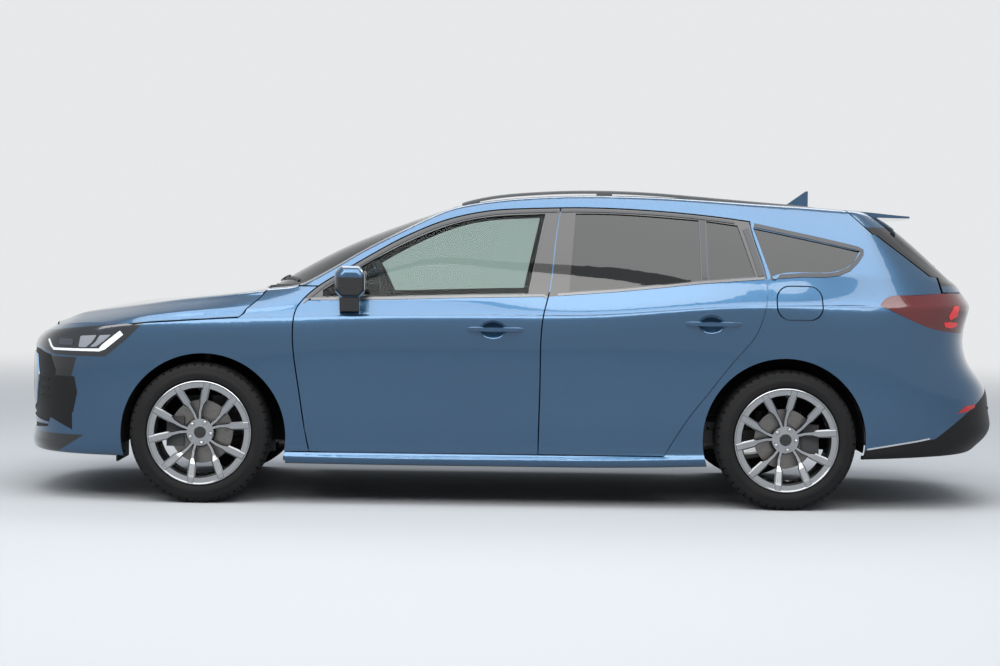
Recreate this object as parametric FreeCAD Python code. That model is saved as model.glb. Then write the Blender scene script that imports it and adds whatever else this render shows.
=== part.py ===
"""A five-door station wagon, built up from separate body panels, doors, glass, wheels and running gear.

The car faces -X, its left side is at -Y, and it stands on the floor at Z = 0 with the origin
under the middle of its length. All lengths are in millimetres.
"""
import math
import os

import FreeCAD, Part

# Driving sizes of the whole car
overall_length = 4668.0
overall_width = 1825.0
body_height = 1480.0
wheelbase = 2700.0
front_overhang = 900.0
front_track = 1567.0
rear_track = 1558.0
tyre_width = 215.0
tyre_diameter = 647.0
rim_diameter = 471.0

# Walls and gaps
door_skin = 14.0
door_wall = 96.0
pillar_lap = 2.0
pillar_skin = 22.0
panel_skin = 14.0
panel_gap = 6.0
glass_depth = 6.0
glass_thick = 4.0
seat_gap = 0.3
roof_side_gap = 1.0
cut_over = 60.0
far_out = 1400.0
bonnet_thick = 16.0
roof_thick = 20.0
cowl_thick = 10.0
screen_thick = 5.0
bumper_skin = 14.0
tailgate_wall = 46.0
lamp_depth = 60.0
lamp_inner = 300.0

# Worked out from the driving sizes
half_width = overall_width / 2
rear_overhang = overall_length - front_overhang - wheelbase
front_axle_x = front_overhang - overall_length / 2
rear_axle_x = front_axle_x + wheelbase
axle_height = tyre_diameter / 2

# Body lines from nose to tail: x as a share of the wheelbase behind the front axle,
# z as a share of the body height, y as a share of the half width
belt_line_shares = (
    (-0.315, 0.508, 0.499), (-0.289, 0.524, 0.581), (-0.261, 0.534, 0.682), (-0.221, 0.545, 0.800),
    (-0.164, 0.558, 0.890), (-0.096, 0.578, 0.927), (0.000, 0.595, 0.939), (0.111, 0.609, 0.940),
    (0.161, 0.622, 0.933), (0.222, 0.628, 0.923), (0.336, 0.633, 0.926), (0.507, 0.645, 0.932),
    (0.679, 0.663, 0.935), (0.850, 0.694, 0.935), (0.965, 0.711, 0.927), (1.022, 0.719, 0.916),
    (1.111, 0.728, 0.885),
)
edge_line_shares = (
    (-0.315, 0.522, 0.329), (-0.289, 0.541, 0.416), (-0.261, 0.555, 0.493), (-0.221, 0.582, 0.592),
    (-0.164, 0.598, 0.679), (-0.096, 0.616, 0.756), (-0.046, 0.630, 0.780), (0.040, 0.648, 0.813),
    (0.110, 0.664, 0.839), (0.161, 0.674, 0.853), (0.176, 0.686, 0.848), (0.211, 0.721, 0.834),
    (0.246, 0.758, 0.819), (0.280, 0.796, 0.801), (0.314, 0.828, 0.784), (0.367, 0.878, 0.756),
    (0.401, 0.907, 0.736), (0.427, 0.926, 0.722), (0.470, 0.943, 0.706), (0.519, 0.955, 0.693),
    (0.593, 0.966, 0.682), (0.681, 0.971, 0.677), (0.769, 0.969, 0.675), (0.857, 0.962, 0.670),
    (0.944, 0.953, 0.664), (1.033, 0.945, 0.655), (1.111, 0.936, 0.644), (1.172, 0.927, 0.629),
    (1.222, 0.918, 0.614),
)
nose_crease_shares = (
    (-0.315, 0.501, 0.526), (-0.289, 0.515, 0.614), (-0.261, 0.524, 0.712), (-0.221, 0.533, 0.833),
    (-0.164, 0.545, 0.918), (-0.096, 0.560, 0.956),
)
bonnet_centre_shares = (
    (-0.315, 0.526), (-0.284, 0.545), (-0.256, 0.562), (-0.219, 0.586), (-0.183, 0.602),
    (-0.129, 0.619), (-0.038, 0.636), (0.017, 0.648), (0.053, 0.655), (0.089, 0.668),
    (0.126, 0.680), (0.178, 0.693),
)
top_centre_shares = (
    (0.094, 0.672), (0.106, 0.684), (0.174, 0.757), (0.247, 0.823), (0.321, 0.876), (0.394, 0.923),
    (0.426, 0.941), (0.467, 0.957), (0.537, 0.973), (0.630, 0.983), (0.722, 0.986), (0.833, 0.981),
    (0.944, 0.971), (1.056, 0.956), (1.130, 0.944), (1.185, 0.933), (1.241, 0.920),
)
top_edge_x_shares = (0.161, 0.171, 0.231, 0.296, 0.361, 0.417, 0.444, 0.478, 0.541, 0.630, 0.722,
                     0.833, 0.944, 1.0556, 1.1285, 1.178, 1.230)

# The flank's section lines, lowest first: heights at the nose, at the six flank stations and at the
# tail, half widths at the flank stations, then how far the line reaches into each overhang
flank_station_shares = (-0.096, 0.111, 0.370, 0.630, 0.926, 1.111)
section_line_shares = (
    ("sill underside",
     (0.157, 0.145, 0.128, 0.126, 0.126, 0.138, 0.159, 0.193),
     (0.855, 0.899, 0.912, 0.914, 0.910, 0.868), 0.944, 0.880),
    ("sill bottom",
     (0.146, 0.137, 0.126, 0.124, 0.124, 0.135, 0.157, 0.185),
     (0.901, 0.949, 0.956, 0.956, 0.949, 0.918), 0.992, 0.904),
    ("skirt face",
     (0.162, 0.150, 0.139, 0.137, 0.138, 0.150, 0.170, 0.200),
     (0.927, 0.969, 0.975, 0.975, 0.969, 0.945), 1.000, 0.929),
    ("skirt ledge",
     (0.177, 0.162, 0.153, 0.150, 0.151, 0.164, 0.184, 0.216),
     (0.934, 0.971, 0.978, 0.978, 0.971, 0.951), 1.000, 0.953),
    ("door foot",
     (0.193, 0.177, 0.169, 0.166, 0.168, 0.180, 0.200, 0.233),
     (0.940, 0.960, 0.962, 0.962, 0.961, 0.953), 0.994, 0.978),
    ("low door",
     (0.223, 0.223, 0.223, 0.223, 0.223, 0.233, 0.236, 0.264),
     (0.949, 0.967, 0.969, 0.969, 0.970, 0.961), 0.992, 1.000),
    ("mid low",
     (0.284, 0.291, 0.291, 0.291, 0.291, 0.297, 0.301, 0.301),
     (0.962, 0.976, 0.978, 0.978, 0.981, 0.969), 0.997, 0.985),
    ("mid",
     (0.351, 0.365, 0.372, 0.372, 0.372, 0.372, 0.366, 0.359),
     (0.969, 0.984, 0.984, 0.984, 0.988, 0.975), 1.000, 0.978),
    ("mid high",
     (0.405, 0.432, 0.439, 0.439, 0.439, 0.439, 0.422, 0.399),
     (0.971, 0.988, 0.990, 0.990, 0.993, 0.978), 0.999, 0.942),
    ("upper",
     (0.449, 0.486, 0.500, 0.503, 0.503, 0.507, 0.486, 0.439),
     (0.970, 0.988, 0.993, 0.993, 0.995, 0.979), 0.996, 0.888),
    ("under crease",
     (0.476, 0.527, 0.546, 0.553, 0.555, 0.574, 0.568, 0.500),
     (0.964, 0.984, 0.988, 0.990, 0.993, 0.978), 0.984, 0.860),
    ("crease foot",
     (0.501, 0.553, 0.574, 0.583, 0.586, 0.620, 0.625, 0.574),
     (0.958, 0.975, 0.982, 0.985, 0.990, 0.969), 0.947, 0.878),
    ("crease",
     (0.524, 0.560, 0.584, 0.595, 0.598, 0.634, 0.641, 0.625),
     (0.951, 0.965, 0.974, 0.979, 0.985, 0.958), 0.889, 0.895),
    ("crease top",
     (0.537, 0.568, 0.592, 0.603, 0.606, 0.642, 0.652, 0.652),
     (0.936, 0.951, 0.960, 0.964, 0.973, 0.940), 0.872, 0.886),
)
# The lines above the belt: how far up from belt to roof edge, then nose height and reach,
# tail height and reach
upper_line_shares = (
    (0.00, 0.545, 0.850, 0.678, 0.848),
    (0.06, 0.548, 0.840, 0.689, 0.835),
    (0.25, 0.551, 0.830, 0.740, 0.761),
    (0.45, 0.554, 0.820, 0.787, 0.693),
    (0.65, 0.557, 0.810, 0.845, 0.609),
    (0.82, 0.560, 0.800, 0.889, 0.534),
    (0.92, 0.563, 0.790, 0.912, 0.482),
    (1.00, 0.566, 0.780, 0.930, 0.435),
)
bulge_share = 0.30
wall_rise_share = 0.33
roll_in = 23.0
roll_up = 6.0
roll_up_share = 0.5

# Plan wrap from flank to nose or tail: share of the reach, share of the half width, share of the turn
nose_wrap_shares = ((0.28, 0.982, 0.17), (0.52, 0.930, 0.33), (0.72, 0.830, 0.47),
                    (0.86, 0.660, 0.62), (0.95, 0.420, 0.78), (0.99, 0.200, 0.90), (1.00, 0.0, 1.00))
tail_wrap_shares = ((0.30, 0.985, 0.17), (0.55, 0.940, 0.33), (0.76, 0.850, 0.47),
                    (0.90, 0.680, 0.62), (0.97, 0.420, 0.78), (0.995, 0.200, 0.90), (1.00, 0.0, 1.00))
flank_column_shares = (-0.096, -0.040, 0.016, 0.070, 0.120, 0.161, 0.195, 0.230, 0.265, 0.300, 0.335,
                       0.370, 0.405, 0.440, 0.500, 0.570, 0.650, 0.730, 0.810, 0.880, 0.950, 1.010,
                       1.065, 1.111)
# How far each section line leans its wall from level towards straight down (or up, below zero)
lean_shares = (-0.80, -0.50, -0.15, 0, 0, 0, 0, 0, 0, 0, 0, 0, 0, 0.10, 0.10, 0, 0, 0, 0.05, 0.15, 0.30,
               0.50, 0.80, 1.00)
wall_lean_shares = (-0.10, -0.10, -0.05, 0, 0, 0, 0, 0, 0, 0, 0, 0, 0, 0, 0, 0, 0, 0, 0.05, 0.15, 0.30,
                    0.50, 0.80, 1.00)
# How much of the door wall each section line keeps
wall_shares = (0.60, 0.80, 0.95, 1, 1, 1, 1, 1, 1, 1, 1, 1, 0.95, 0.88, 0.70, 0.46, 0.42, 0.42, 0.42,
               0.42, 0.42, 0.44, 0.42, 0.42)

# Side outlines
front_door_front_shares = (
    (0.188, 0.164), (0.183, 0.201), (0.175, 0.284), (0.168, 0.368), (0.158, 0.498), (0.158, 0.572),
    (0.161, 0.603), (0.169, 0.628),
)
front_door_top_shares = (
    (0.169, 0.628), (0.194, 0.673), (0.228, 0.714), (0.263, 0.753), (0.297, 0.790), (0.332, 0.826),
    (0.367, 0.857), (0.401, 0.883), (0.436, 0.903), (0.471, 0.917), (0.506, 0.926), (0.540, 0.930),
    (0.578, 0.933), (0.613, 0.935),
)
middle_shut_shares = (
    (0.613, 0.935), (0.602, 0.794), (0.591, 0.651), (0.584, 0.601), (0.580, 0.541), (0.579, 0.473),
    (0.579, 0.403), (0.578, 0.278), (0.577, 0.164),
)
rear_door_top_shares = (
    (0.613, 0.935), (0.680, 0.936), (0.767, 0.930), (0.854, 0.918), (0.941, 0.899),
)
rear_door_rear_shares = (
    (0.941, 0.899), (0.953, 0.804), (0.965, 0.711), (0.962, 0.636), (0.957, 0.598), (0.942, 0.536),
    (0.925, 0.498), (0.892, 0.426), (0.859, 0.347), (0.835, 0.291), (0.807, 0.211), (0.791, 0.164),
)
front_glass_shares = (
    (0.206, 0.647), (0.206, 0.666), (0.237, 0.703), (0.297, 0.770), (0.367, 0.836), (0.436, 0.884),
    (0.506, 0.907), (0.548, 0.912), (0.586, 0.915), (0.557, 0.664), (0.507, 0.662), (0.422, 0.657),
    (0.336, 0.651), (0.259, 0.647),
)
rear_glass_shares = (
    (0.639, 0.917), (0.680, 0.918), (0.767, 0.912), (0.852, 0.901), (0.852, 0.713), (0.765, 0.695),
    (0.679, 0.680), (0.627, 0.673),
)
rear_pane_shares = (
    (0.865, 0.899), (0.919, 0.886), (0.945, 0.728), (0.865, 0.715),
)
quarter_glass_shares = (
    (0.946, 0.879), (1.029, 0.848), (1.096, 0.822), (1.128, 0.809), (1.096, 0.752), (1.059, 0.741),
    (0.972, 0.725),
)
seam_shares = (
    (1.124, 0.364), (1.167, 0.403), (1.214, 0.445), (1.231, 0.474), (1.249, 0.528), (1.260, 0.565),
)
tail_lamp_top_shares = (
    (1.157, 0.641), (1.171, 0.666), (1.210, 0.674), (1.269, 0.680), (1.341, 0.676),
)
tail_lamp_foot_shares = (
    (1.341, 0.553), (1.264, 0.565), (1.240, 0.576), (1.211, 0.597), (1.157, 0.641),
)
fender_seam_shares = (
    (-0.159, 0.451), (-0.126, 0.419), (-0.089, 0.389),
)
headlamp_shares = (
    (-0.296, 0.515), (-0.261, 0.528), (-0.221, 0.538), (-0.164, 0.549), (-0.097, 0.560),
    (-0.124, 0.508), (-0.162, 0.451), (-0.217, 0.451), (-0.258, 0.454), (-0.296, 0.484),
)
bonnet_rear_shares = (
    (0.050, 0.992), (0.059, 0.974), (0.080, 0.932), (0.100, 0.877), (0.111, 0.811), (0.110, 0.701),
    (0.097, 0.438), (0.082, 0.000),
)
bonnet_nose_shares = (
    (-0.284, 0.000), (-0.283, 0.219), (-0.275, 0.438), (-0.265, 0.614), (-0.256, 0.701),
    (-0.222, 0.824), (-0.164, 0.917), (-0.097, 0.957), (0.000, 0.969), (0.050, 0.992),
)


def vec(x, y, z):
    """A point from its three coordinates."""
    return FreeCAD.Vector(x, y, z)


class Line:
    """A smooth line through a few values, read at any x without overshoot."""

    def __init__(self, xs, values):
        self.xs = list(xs)
        self.values = list(values)
        steps = [b - a for a, b in zip(self.xs, self.xs[1:])]
        rises = [(b - a) / s for a, b, s in zip(self.values, self.values[1:], steps)]
        self.slopes = [rises[0]]
        for before, after in zip(rises, rises[1:]):
            level = before * after <= 0
            self.slopes.append(0.0 if level else 2 * before * after / (before + after))
        self.slopes.append(rises[-1])

    def at(self, x):
        """The line's value at x, held at its ends."""
        if x <= self.xs[0]:
            return self.values[0]
        if x >= self.xs[-1]:
            return self.values[-1]
        i = max(k for k, left in enumerate(self.xs) if left <= x)
        step = self.xs[i + 1] - self.xs[i]
        t = (x - self.xs[i]) / step
        start = self.values[i] * (1 + 2 * t) + self.slopes[i] * step * t
        end = self.values[i + 1] * (3 - 2 * t) + self.slopes[i + 1] * step * (t - 1)
        return start * (1 - t) ** 2 + end * t ** 2


def car_x(share):
    """An x in the car's frame, from a share of the wheelbase behind the front axle."""
    return front_axle_x + share * wheelbase


def side_points(shares):
    """Points of a side outline from its table of shares."""
    return [(car_x(x), z * body_height) for x, z in shares]


def line_of(shares, column, size):
    """A body line from one column of a table of shares."""
    return Line([car_x(row[0]) for row in shares], [row[column] * size for row in shares])


belt_z = line_of(belt_line_shares, 1, body_height)
belt_y = line_of(belt_line_shares, 2, half_width)
edge_z = line_of(edge_line_shares, 1, body_height)
edge_y = line_of(edge_line_shares, 2, half_width)
bonnet_z = line_of(bonnet_centre_shares, 1, body_height)
station_xs = [car_x(share) for share in flank_station_shares]


def upper_point(x, rise):
    """A point of the left side between belt and roof edge, at a share of the rise."""
    lean = rise - bulge_share * rise * (1 - rise)
    y = belt_y.at(x) + (edge_y.at(x) - belt_y.at(x)) * lean
    return vec(x, -y, belt_z.at(x) + (edge_z.at(x) - belt_z.at(x)) * rise)


def roll_point(x, step):
    """A point of the roof edge where the side turns over towards the roof."""
    up = roll_up * (1 + roll_up_share * (step - 1))
    return vec(x, roll_in * step - edge_y.at(x), edge_z.at(x) + up)


def wrap(start, reach_x, end_z, wrap_shares):
    """The points that carry a section line round the nose or the tail to the centre line."""
    points = []
    for along, across, turned in wrap_shares:
        x = start.x + (reach_x - start.x) * along
        z = start.z + (end_z - start.z) * turned
        points.append(vec(x, start.y * across, z))
    return points


def whole_line(flank, nose_reach, nose_z, tail_reach, tail_z):
    """One section line of the left side from the nose's centre to the tail's centre."""
    nose_x = front_axle_x - nose_reach * front_overhang
    tail_x = rear_axle_x + tail_reach * rear_overhang
    nose = wrap(flank[0], nose_x, nose_z * body_height, nose_wrap_shares)
    tail = wrap(flank[-1], tail_x, tail_z * body_height, tail_wrap_shares)
    return nose[::-1] + flank + tail


def body_lines():
    """All section lines of the left side, lowest first."""
    columns = [car_x(share) for share in flank_column_shares]
    lines = []
    for name, heights, widths, nose_reach, tail_reach in section_line_shares:
        z_line = Line(station_xs, [share * body_height for share in heights[1:-1]])
        y_line = Line(station_xs, [share * half_width for share in widths])
        flank = [vec(x, -y_line.at(x), z_line.at(x)) for x in columns]
        lines.append(whole_line(flank, nose_reach, heights[0], tail_reach, heights[-1]))
    for rise, nose_z, nose_reach, tail_z, tail_reach in upper_line_shares:
        flank = [upper_point(x, rise) for x in columns]
        lines.append(whole_line(flank, nose_reach, nose_z, tail_reach, tail_z))
    rise, nose_z, nose_reach, tail_z, tail_reach = upper_line_shares[-1]
    for step in (1, 2):
        flank = [roll_point(x, step) for x in columns]
        up = roll_up / body_height * step
        back = roll_in / rear_overhang * step
        lines.append(whole_line(flank, nose_reach, nose_z + up, tail_reach - back, tail_z + up))
    return lines


def mirrored(point):
    """The same point on the other side of the car."""
    return vec(point.x, -point.y, point.z)


def inward(lines, row, column, leans=lean_shares):
    """The direction from the skin into the wall at one point of the body lines."""
    line = lines[row]
    before = line[column - 1] if column > 0 else mirrored(line[1])
    after = line[column + 1] if column + 1 < len(line) else mirrored(line[-2])
    run = vec(after.x - before.x, after.y - before.y, 0)
    run.normalize()
    lean = math.radians(90 * leans[row])
    return vec(-run.y * math.cos(lean), run.x * math.cos(lean), -math.sin(lean))


def settled(points):
    """Control points whose smooth curve runs through the given points."""
    inner = []
    for before, here, after in zip(points, points[1:], points[2:]):
        inner.append(here - (before - here * 2 + after) * (1 / 6))
    return [points[0]] + inner + [points[-1]]


def smooth_surface(grid):
    """A smooth surface through a grid of points, each row of the grid a line of points."""
    rows = [settled(row) for row in grid]
    columns = [settled(list(column)) for column in zip(*rows)]
    poles = [list(row) for row in zip(*columns)]
    surface = Part.BSplineSurface()
    u_spans = len(poles) - 3
    v_spans = len(poles[0]) - 3
    surface.buildFromPolesMultsKnots(
        poles, [4] + [1] * (u_spans - 1) + [4], [4] + [1] * (v_spans - 1) + [4],
        list(range(u_spans + 1)), list(range(v_spans + 1)), False, False, 3, 3)
    return surface


def wall_between(outer_grid, inner_grid):
    """A closed wall between two grids of points."""
    outer = smooth_surface(outer_grid)
    inner = smooth_surface(inner_grid)
    u0, u1, v0, v1 = outer.bounds()
    faces = [outer.toShape(), inner.toShape()]
    for edge_of in (lambda s: s.uIso(u0), lambda s: s.uIso(u1), lambda s: s.vIso(v0), lambda s: s.vIso(v1)):
        faces.append(Part.makeRuledSurface(edge_of(outer).toShape(), edge_of(inner).toShape()))
    shell = Part.Shell(faces)
    shell.sewShape()
    solid = Part.Solid(Part.Shell(shell.Faces))
    if solid.Volume < 0:
        solid.reverse()
    return solid


LINES = body_lines()
TAIL_CENTRE = len(LINES[0]) - 1
BELT_ROW = len(section_line_shares)
EDGE_ROW = BELT_ROW + len(upper_line_shares) - 1
FIRST_WALL = len(nose_wrap_shares) + 2


def skin_grid(depth, first, last, rows=None, mirror_first=False, mirror_last=False, thin=False):
    """The left side's points at a depth under the skin, mirrored over the centre line if asked."""
    grid = []
    for row in rows or range(len(LINES)):
        points = []
        for column in range(first, last + 1):
            reach = depth
            if not thin:
                rise = LINES[EDGE_ROW][column].z - LINES[BELT_ROW][column].z
                reach = depth * wall_shares[row]
                if row >= BELT_ROW:
                    reach = min(reach, rise * wall_rise_share)
            leans = lean_shares if thin else wall_lean_shares
            points.append(LINES[row][column] + inward(LINES, row, column, leans) * reach)
        if mirror_first:
            points = [mirrored(point) for point in points[:0:-1]] + points
        if mirror_last:
            points = points + [mirrored(point) for point in points[-2::-1]]
        grid.append(points)
    return grid


def layer(depth_out, depth_in, first, last, **options):
    """A thin layer of the body's skin from one depth to another."""
    outer = skin_grid(depth_out, first, last, thin=True, **options)
    inner = skin_grid(depth_in, first, last, thin=True, **options)
    return wall_between(outer, inner)


def deep_layer(depth_out, depth_in, first, last):
    """The wall behind the skin, which thins out towards the roof."""
    rows = range(1, len(LINES))
    outer = skin_grid(depth_out, first, last, rows=rows, thin=True)
    inner = skin_grid(depth_in, first, last, rows=rows)
    return wall_between(outer, inner)


def flat_face(chains, place):
    """A flat face inside chains of points; a chain of two is straight and a longer one is smooth."""
    edges = []
    for chain in chains:
        points = [place(a, b) for a, b in chain]
        if len(points) == 2:
            edges.append(Part.LineSegment(points[0], points[1]).toShape())
        else:
            curve = Part.BSplineCurve()
            curve.interpolate(points)
            edges.append(curve.toShape())
    return Part.Face(Part.Wire(edges))


def side_prism(chains, near=0.0, far=None):
    """A block with an outline seen from the side, on the left of the car."""
    depth = far_out if far is None else far
    face = flat_face(chains, lambda x, z: vec(x, -depth, z))
    return face.extrude(vec(0, depth - near, 0))


def closed(points):
    """The straight chains round a closed outline."""
    return [[a, b] for a, b in zip(points, points[1:] + points[:1])]


def area_of(points):
    """The signed area inside a closed outline."""
    return sum(a[0] * b[1] - b[0] * a[1] for a, b in zip(points, points[1:] + points[:1])) / 2


def inset(chains, amounts):
    """An outline moved inwards, each chain by its own amount, with its corners kept sharp."""
    corners = [point for chain in chains for point in chain[:-1]]
    turn = 1 if area_of(corners) > 0 else -1

    def unit(a, b):
        length = math.hypot(b[0] - a[0], b[1] - a[1])
        return ((b[0] - a[0]) / length, (b[1] - a[1]) / length)

    def moved(point, run, amount):
        return (point[0] - run[1] * turn * amount, point[1] + run[0] * turn * amount)

    moved_chains = []
    for index, chain in enumerate(chains):
        amount = amounts[index]
        last_chain = chains[index - 1]
        next_chain = chains[(index + 1) % len(chains)]
        points = []
        for k, point in enumerate(chain):
            if 0 < k < len(chain) - 1:
                points.append(moved(point, unit(chain[k - 1], chain[k + 1]), amount))
                continue
            if k == 0:
                run_a, amount_a = unit(last_chain[-2], last_chain[-1]), amounts[index - 1]
                run_b, amount_b = unit(chain[0], chain[1]), amount
            else:
                run_a, amount_a = unit(chain[-2], chain[-1]), amount
                run_b, amount_b = unit(next_chain[0], next_chain[1]), amounts[(index + 1) % len(chains)]
            a = moved(point, run_a, amount_a)
            b = moved(point, run_b, amount_b)
            cross = run_a[0] * run_b[1] - run_a[1] * run_b[0]
            if abs(cross) < 0.05:
                points.append(((a[0] + b[0]) / 2, (a[1] + b[1]) / 2))
                continue
            along = ((b[0] - a[0]) * run_b[1] - (b[1] - a[1]) * run_b[0]) / cross
            points.append((a[0] + run_a[0] * along, a[1] + run_a[1] * along))
        moved_chains.append(points)
    return moved_chains


def mirror(shape):
    """The same piece on the right side of the car."""
    return shape.mirror(vec(0, 0, 0), vec(0, 1, 0))


def one_solid(shape):
    """The largest solid of a cut piece."""
    return max(shape.Solids, key=lambda solid: solid.Volume)


def split(points, corners):
    """A closed outline cut into chains at its corner points."""
    chains = []
    for start, end in zip(corners, corners[1:] + [corners[0] + len(points)]):
        chains.append([points[k % len(points)] for k in range(start, end + 1)])
    return chains


def tube_y(x, z, radius, y_from, y_to):
    """A round bar along Y."""
    return Part.makeCylinder(radius, y_to - y_from, vec(x, y_from, z), vec(0, 1, 0))


def outward(solid):
    """The same solid with its faces turned outwards."""
    if solid.Volume < 0:
        solid.reverse()
    return solid


def ring_y(profile, x, z):
    """A shape turned about an axis along Y, from points of y and radius."""
    points = [vec(x, y, z + radius) for y, radius in profile]
    wire = Part.makePolygon(points + [points[0]])
    return outward(Part.Face(wire).revolve(vec(x, 0, z), vec(0, 1, 0), 360))


def block(low, high):
    """A block between two corners."""
    return Part.makeBox(high[0] - low[0], high[1] - low[1], high[2] - low[2], vec(*low))


def fused(shapes):
    """One piece made of several that run into each other."""
    return shapes[0].multiFuse(shapes[1:]) if len(shapes) > 1 else shapes[0]


def strip(points, thick, y_from, y_to):
    """A bent sheet that follows points seen from the side."""
    upper = [(x, z) for x, z in points]
    runs = []
    for k, (x, z) in enumerate(points):
        a = points[max(k - 1, 0)]
        b = points[min(k + 1, len(points) - 1)]
        length = math.hypot(b[0] - a[0], b[1] - a[1])
        runs.append((x + (b[1] - a[1]) / length * thick, z - (b[0] - a[0]) / length * thick))
    outline = upper + runs[::-1]
    face = flat_face(closed(outline), lambda x, z: vec(x, y_from, z))
    return face.extrude(vec(0, y_to - y_from, 0))


# Outlines shared by neighbouring pieces
front_line = side_points(front_door_front_shares)
front_top_line = side_points(front_door_top_shares)
middle_line = side_points(middle_shut_shares)
rear_top_line = side_points(rear_door_top_shares)
rear_line = side_points(rear_door_rear_shares)
front_door_chains = [front_line, front_top_line, middle_line, [middle_line[-1], front_line[0]]]
rear_door_chains = [middle_line[::-1], rear_top_line, rear_line, [rear_line[-1], middle_line[-1]]]
front_glass_chains = split(side_points(front_glass_shares), [0, 1, 8, 9])
rear_glass_chains = split(side_points(rear_glass_shares), [0, 3, 4, 7])
rear_pane_chains = closed(side_points(rear_pane_shares))
quarter_glass_chains = split(side_points(quarter_glass_shares), [0, 3, 6])
seam_line = side_points(seam_shares)
lamp_top_line = side_points(tail_lamp_top_shares)
lamp_foot_line = side_points(tail_lamp_foot_shares)
tail_lamp_chains = [lamp_top_line, [lamp_top_line[-1], lamp_foot_line[0]], lamp_foot_line]
headlamp_points = side_points(headlamp_shares)
headlamp_chains = closed(headlamp_points)
fender_seam = side_points(fender_seam_shares)

front_arch_x = front_axle_x + 16.0
front_arch_radius = 381.0
front_arch_z = 309.0
rear_arch_x = rear_axle_x - 10.0
rear_arch_radius = 376.0
rear_arch_z = 325.0
shut_inset = 38.0
flange_inset = 27.0
frame_inset = 14.0
frame_lap = 5.0
hinge_back = 60.0
hinge_deep = 16.0
hinge_clear = 72.0
hinge_relief_tops = (920.0, 990.0)


def door(outline, openings, skin, wall):
    """A left door: an outer skin with a deeper box behind it, set in from the skin's edge."""
    half_gap = panel_gap / 2
    rims = [half_gap] * 4
    boxes = [shut_inset + half_gap, frame_inset, shut_inset + half_gap, shut_inset + half_gap]
    outer = skin.common(side_prism(inset(outline, rims)))
    inner = wall.common(side_prism(inset(outline, boxes)))
    whole = outer.fuse(inner)
    for chains in openings:
        whole = whole.cut(side_prism(chains))
    return one_solid(whole)


def pane(chains, glass):
    """A window glass that fits its opening."""
    return glass.common(side_prism(inset(chains, [seat_gap] * len(chains))))


def aperture_tools(outline):
    """The cutters that open the body side for a door: one for the skin, one for the wall."""
    half_gap = panel_gap / 2
    outer = side_prism(inset(outline, [-half_gap] * 4))
    inner = side_prism(inset(outline, [flange_inset, frame_lap, flange_inset, flange_inset]))
    return outer, inner


def plan_prism(left_chains, low, high, grow):
    """A block with an outline seen from above, the same on both sides of the car."""
    nose, rear = left_chains
    nose_full = [(x, -y) for x, y in nose[:0:-1]] + nose
    rear_full = rear + [(x, -y) for x, y in rear[-2::-1]]
    chains = inset([nose_full, rear_full], [-grow, -grow])
    face = flat_face(chains, lambda x, y: vec(x, -y, low))
    return face.extrude(vec(0, 0, high - low))


bonnet_nose_line = [(car_x(x), y * half_width) for x, y in bonnet_nose_shares]
bonnet_rear_line = [(car_x(x), y * half_width) for x, y in bonnet_rear_shares]
bonnet_chains = [bonnet_nose_line, bonnet_rear_line]
bonnet_column_shares = (-0.315, -0.289, -0.261, -0.240, -0.221, -0.190, -0.164, -0.130, -0.096, -0.050,
                        0.0, 0.040, 0.080, 0.120, 0.150, 0.178)
bonnet_across_shares = (0.85, 0.65, 0.40, 0.15)
bonnet_lean_shares = (0.0, 0.20, 0.45, 0.50, 0.60, 0.75, 0.85, 0.95, 1.0, 1.0, 1.0, 1.0)
nose_crease_z = line_of(nose_crease_shares, 1, body_height)
nose_crease_y = line_of(nose_crease_shares, 2, half_width)


def bonnet_section(x):
    """The left half of the bonnet's section at x, from the side crease to near the centre."""
    crease = section_line_shares[-2]
    above = section_line_shares[-1]
    if x < station_xs[0]:
        foot = vec(x, -nose_crease_y.at(x), nose_crease_z.at(x))
        belt = upper_point(x, 0)
        second = foot + (belt - foot) * 0.4
    else:
        ys = Line(station_xs, [share * half_width for share in crease[2]])
        zs = Line(station_xs, [share * body_height for share in crease[1][1:-1]])
        foot = vec(x, -ys.at(x), zs.at(x))
        ys = Line(station_xs, [share * half_width for share in above[2]])
        zs = Line(station_xs, [share * body_height for share in above[1][1:-1]])
        second = vec(x, -ys.at(x), zs.at(x))
    points = [foot, second]
    for rise in (0.0, 0.25, 0.45, 0.65, 0.82, 1.0):
        points.append(upper_point(x, rise))
    edge = points[-1]
    for share in bonnet_across_shares:
        z = edge.z + (bonnet_z.at(x) - edge.z) * (1 - share ** 2)
        points.append(vec(x, edge.y * share, z))
    return points


def bonnet_wall(depth_out, depth_in):
    """The bonnet's wall before it is cut to its outline."""
    grids = []
    for depth in (depth_out, depth_in):
        grid = []
        for share in bonnet_column_shares:
            half = []
            for point, lean_share in zip(bonnet_section(car_x(share)), bonnet_lean_shares):
                lean = math.radians(90 * lean_share)
                half.append(point + vec(0, math.cos(lean), -math.sin(lean)) * depth)
            grid.append(half + [mirrored(point) for point in half[::-1]])
        grids.append(grid)
    return wall_between(*grids)


top_xs = [car_x(row[0]) for row in top_centre_shares]
top_z = Line(top_xs, [row[1] * body_height for row in top_centre_shares])
top_edge_x = Line(top_xs, [car_x(share) for share in top_edge_x_shares])
across_shares = (1.0, 0.9, 0.75, 0.55, 0.3, 0.1)
plan_power_share = 2.2
crown_power_share = 2.4


def top_point(x, across, narrow=0):
    """A point of the windscreen, roof and spoiler surface, on the left at a share across."""
    edge_x = top_edge_x.at(x)
    side = edge_y.at(edge_x) - roll_in * 2 - roof_side_gap - narrow
    edge_up = edge_z.at(edge_x) + roll_up * (1 + roll_up_share)
    out_x = x + (edge_x - x) * across ** plan_power_share
    out_z = top_z.at(x) + (edge_up - top_z.at(x)) * across ** crown_power_share
    return vec(out_x, -side * across, out_z)


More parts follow.
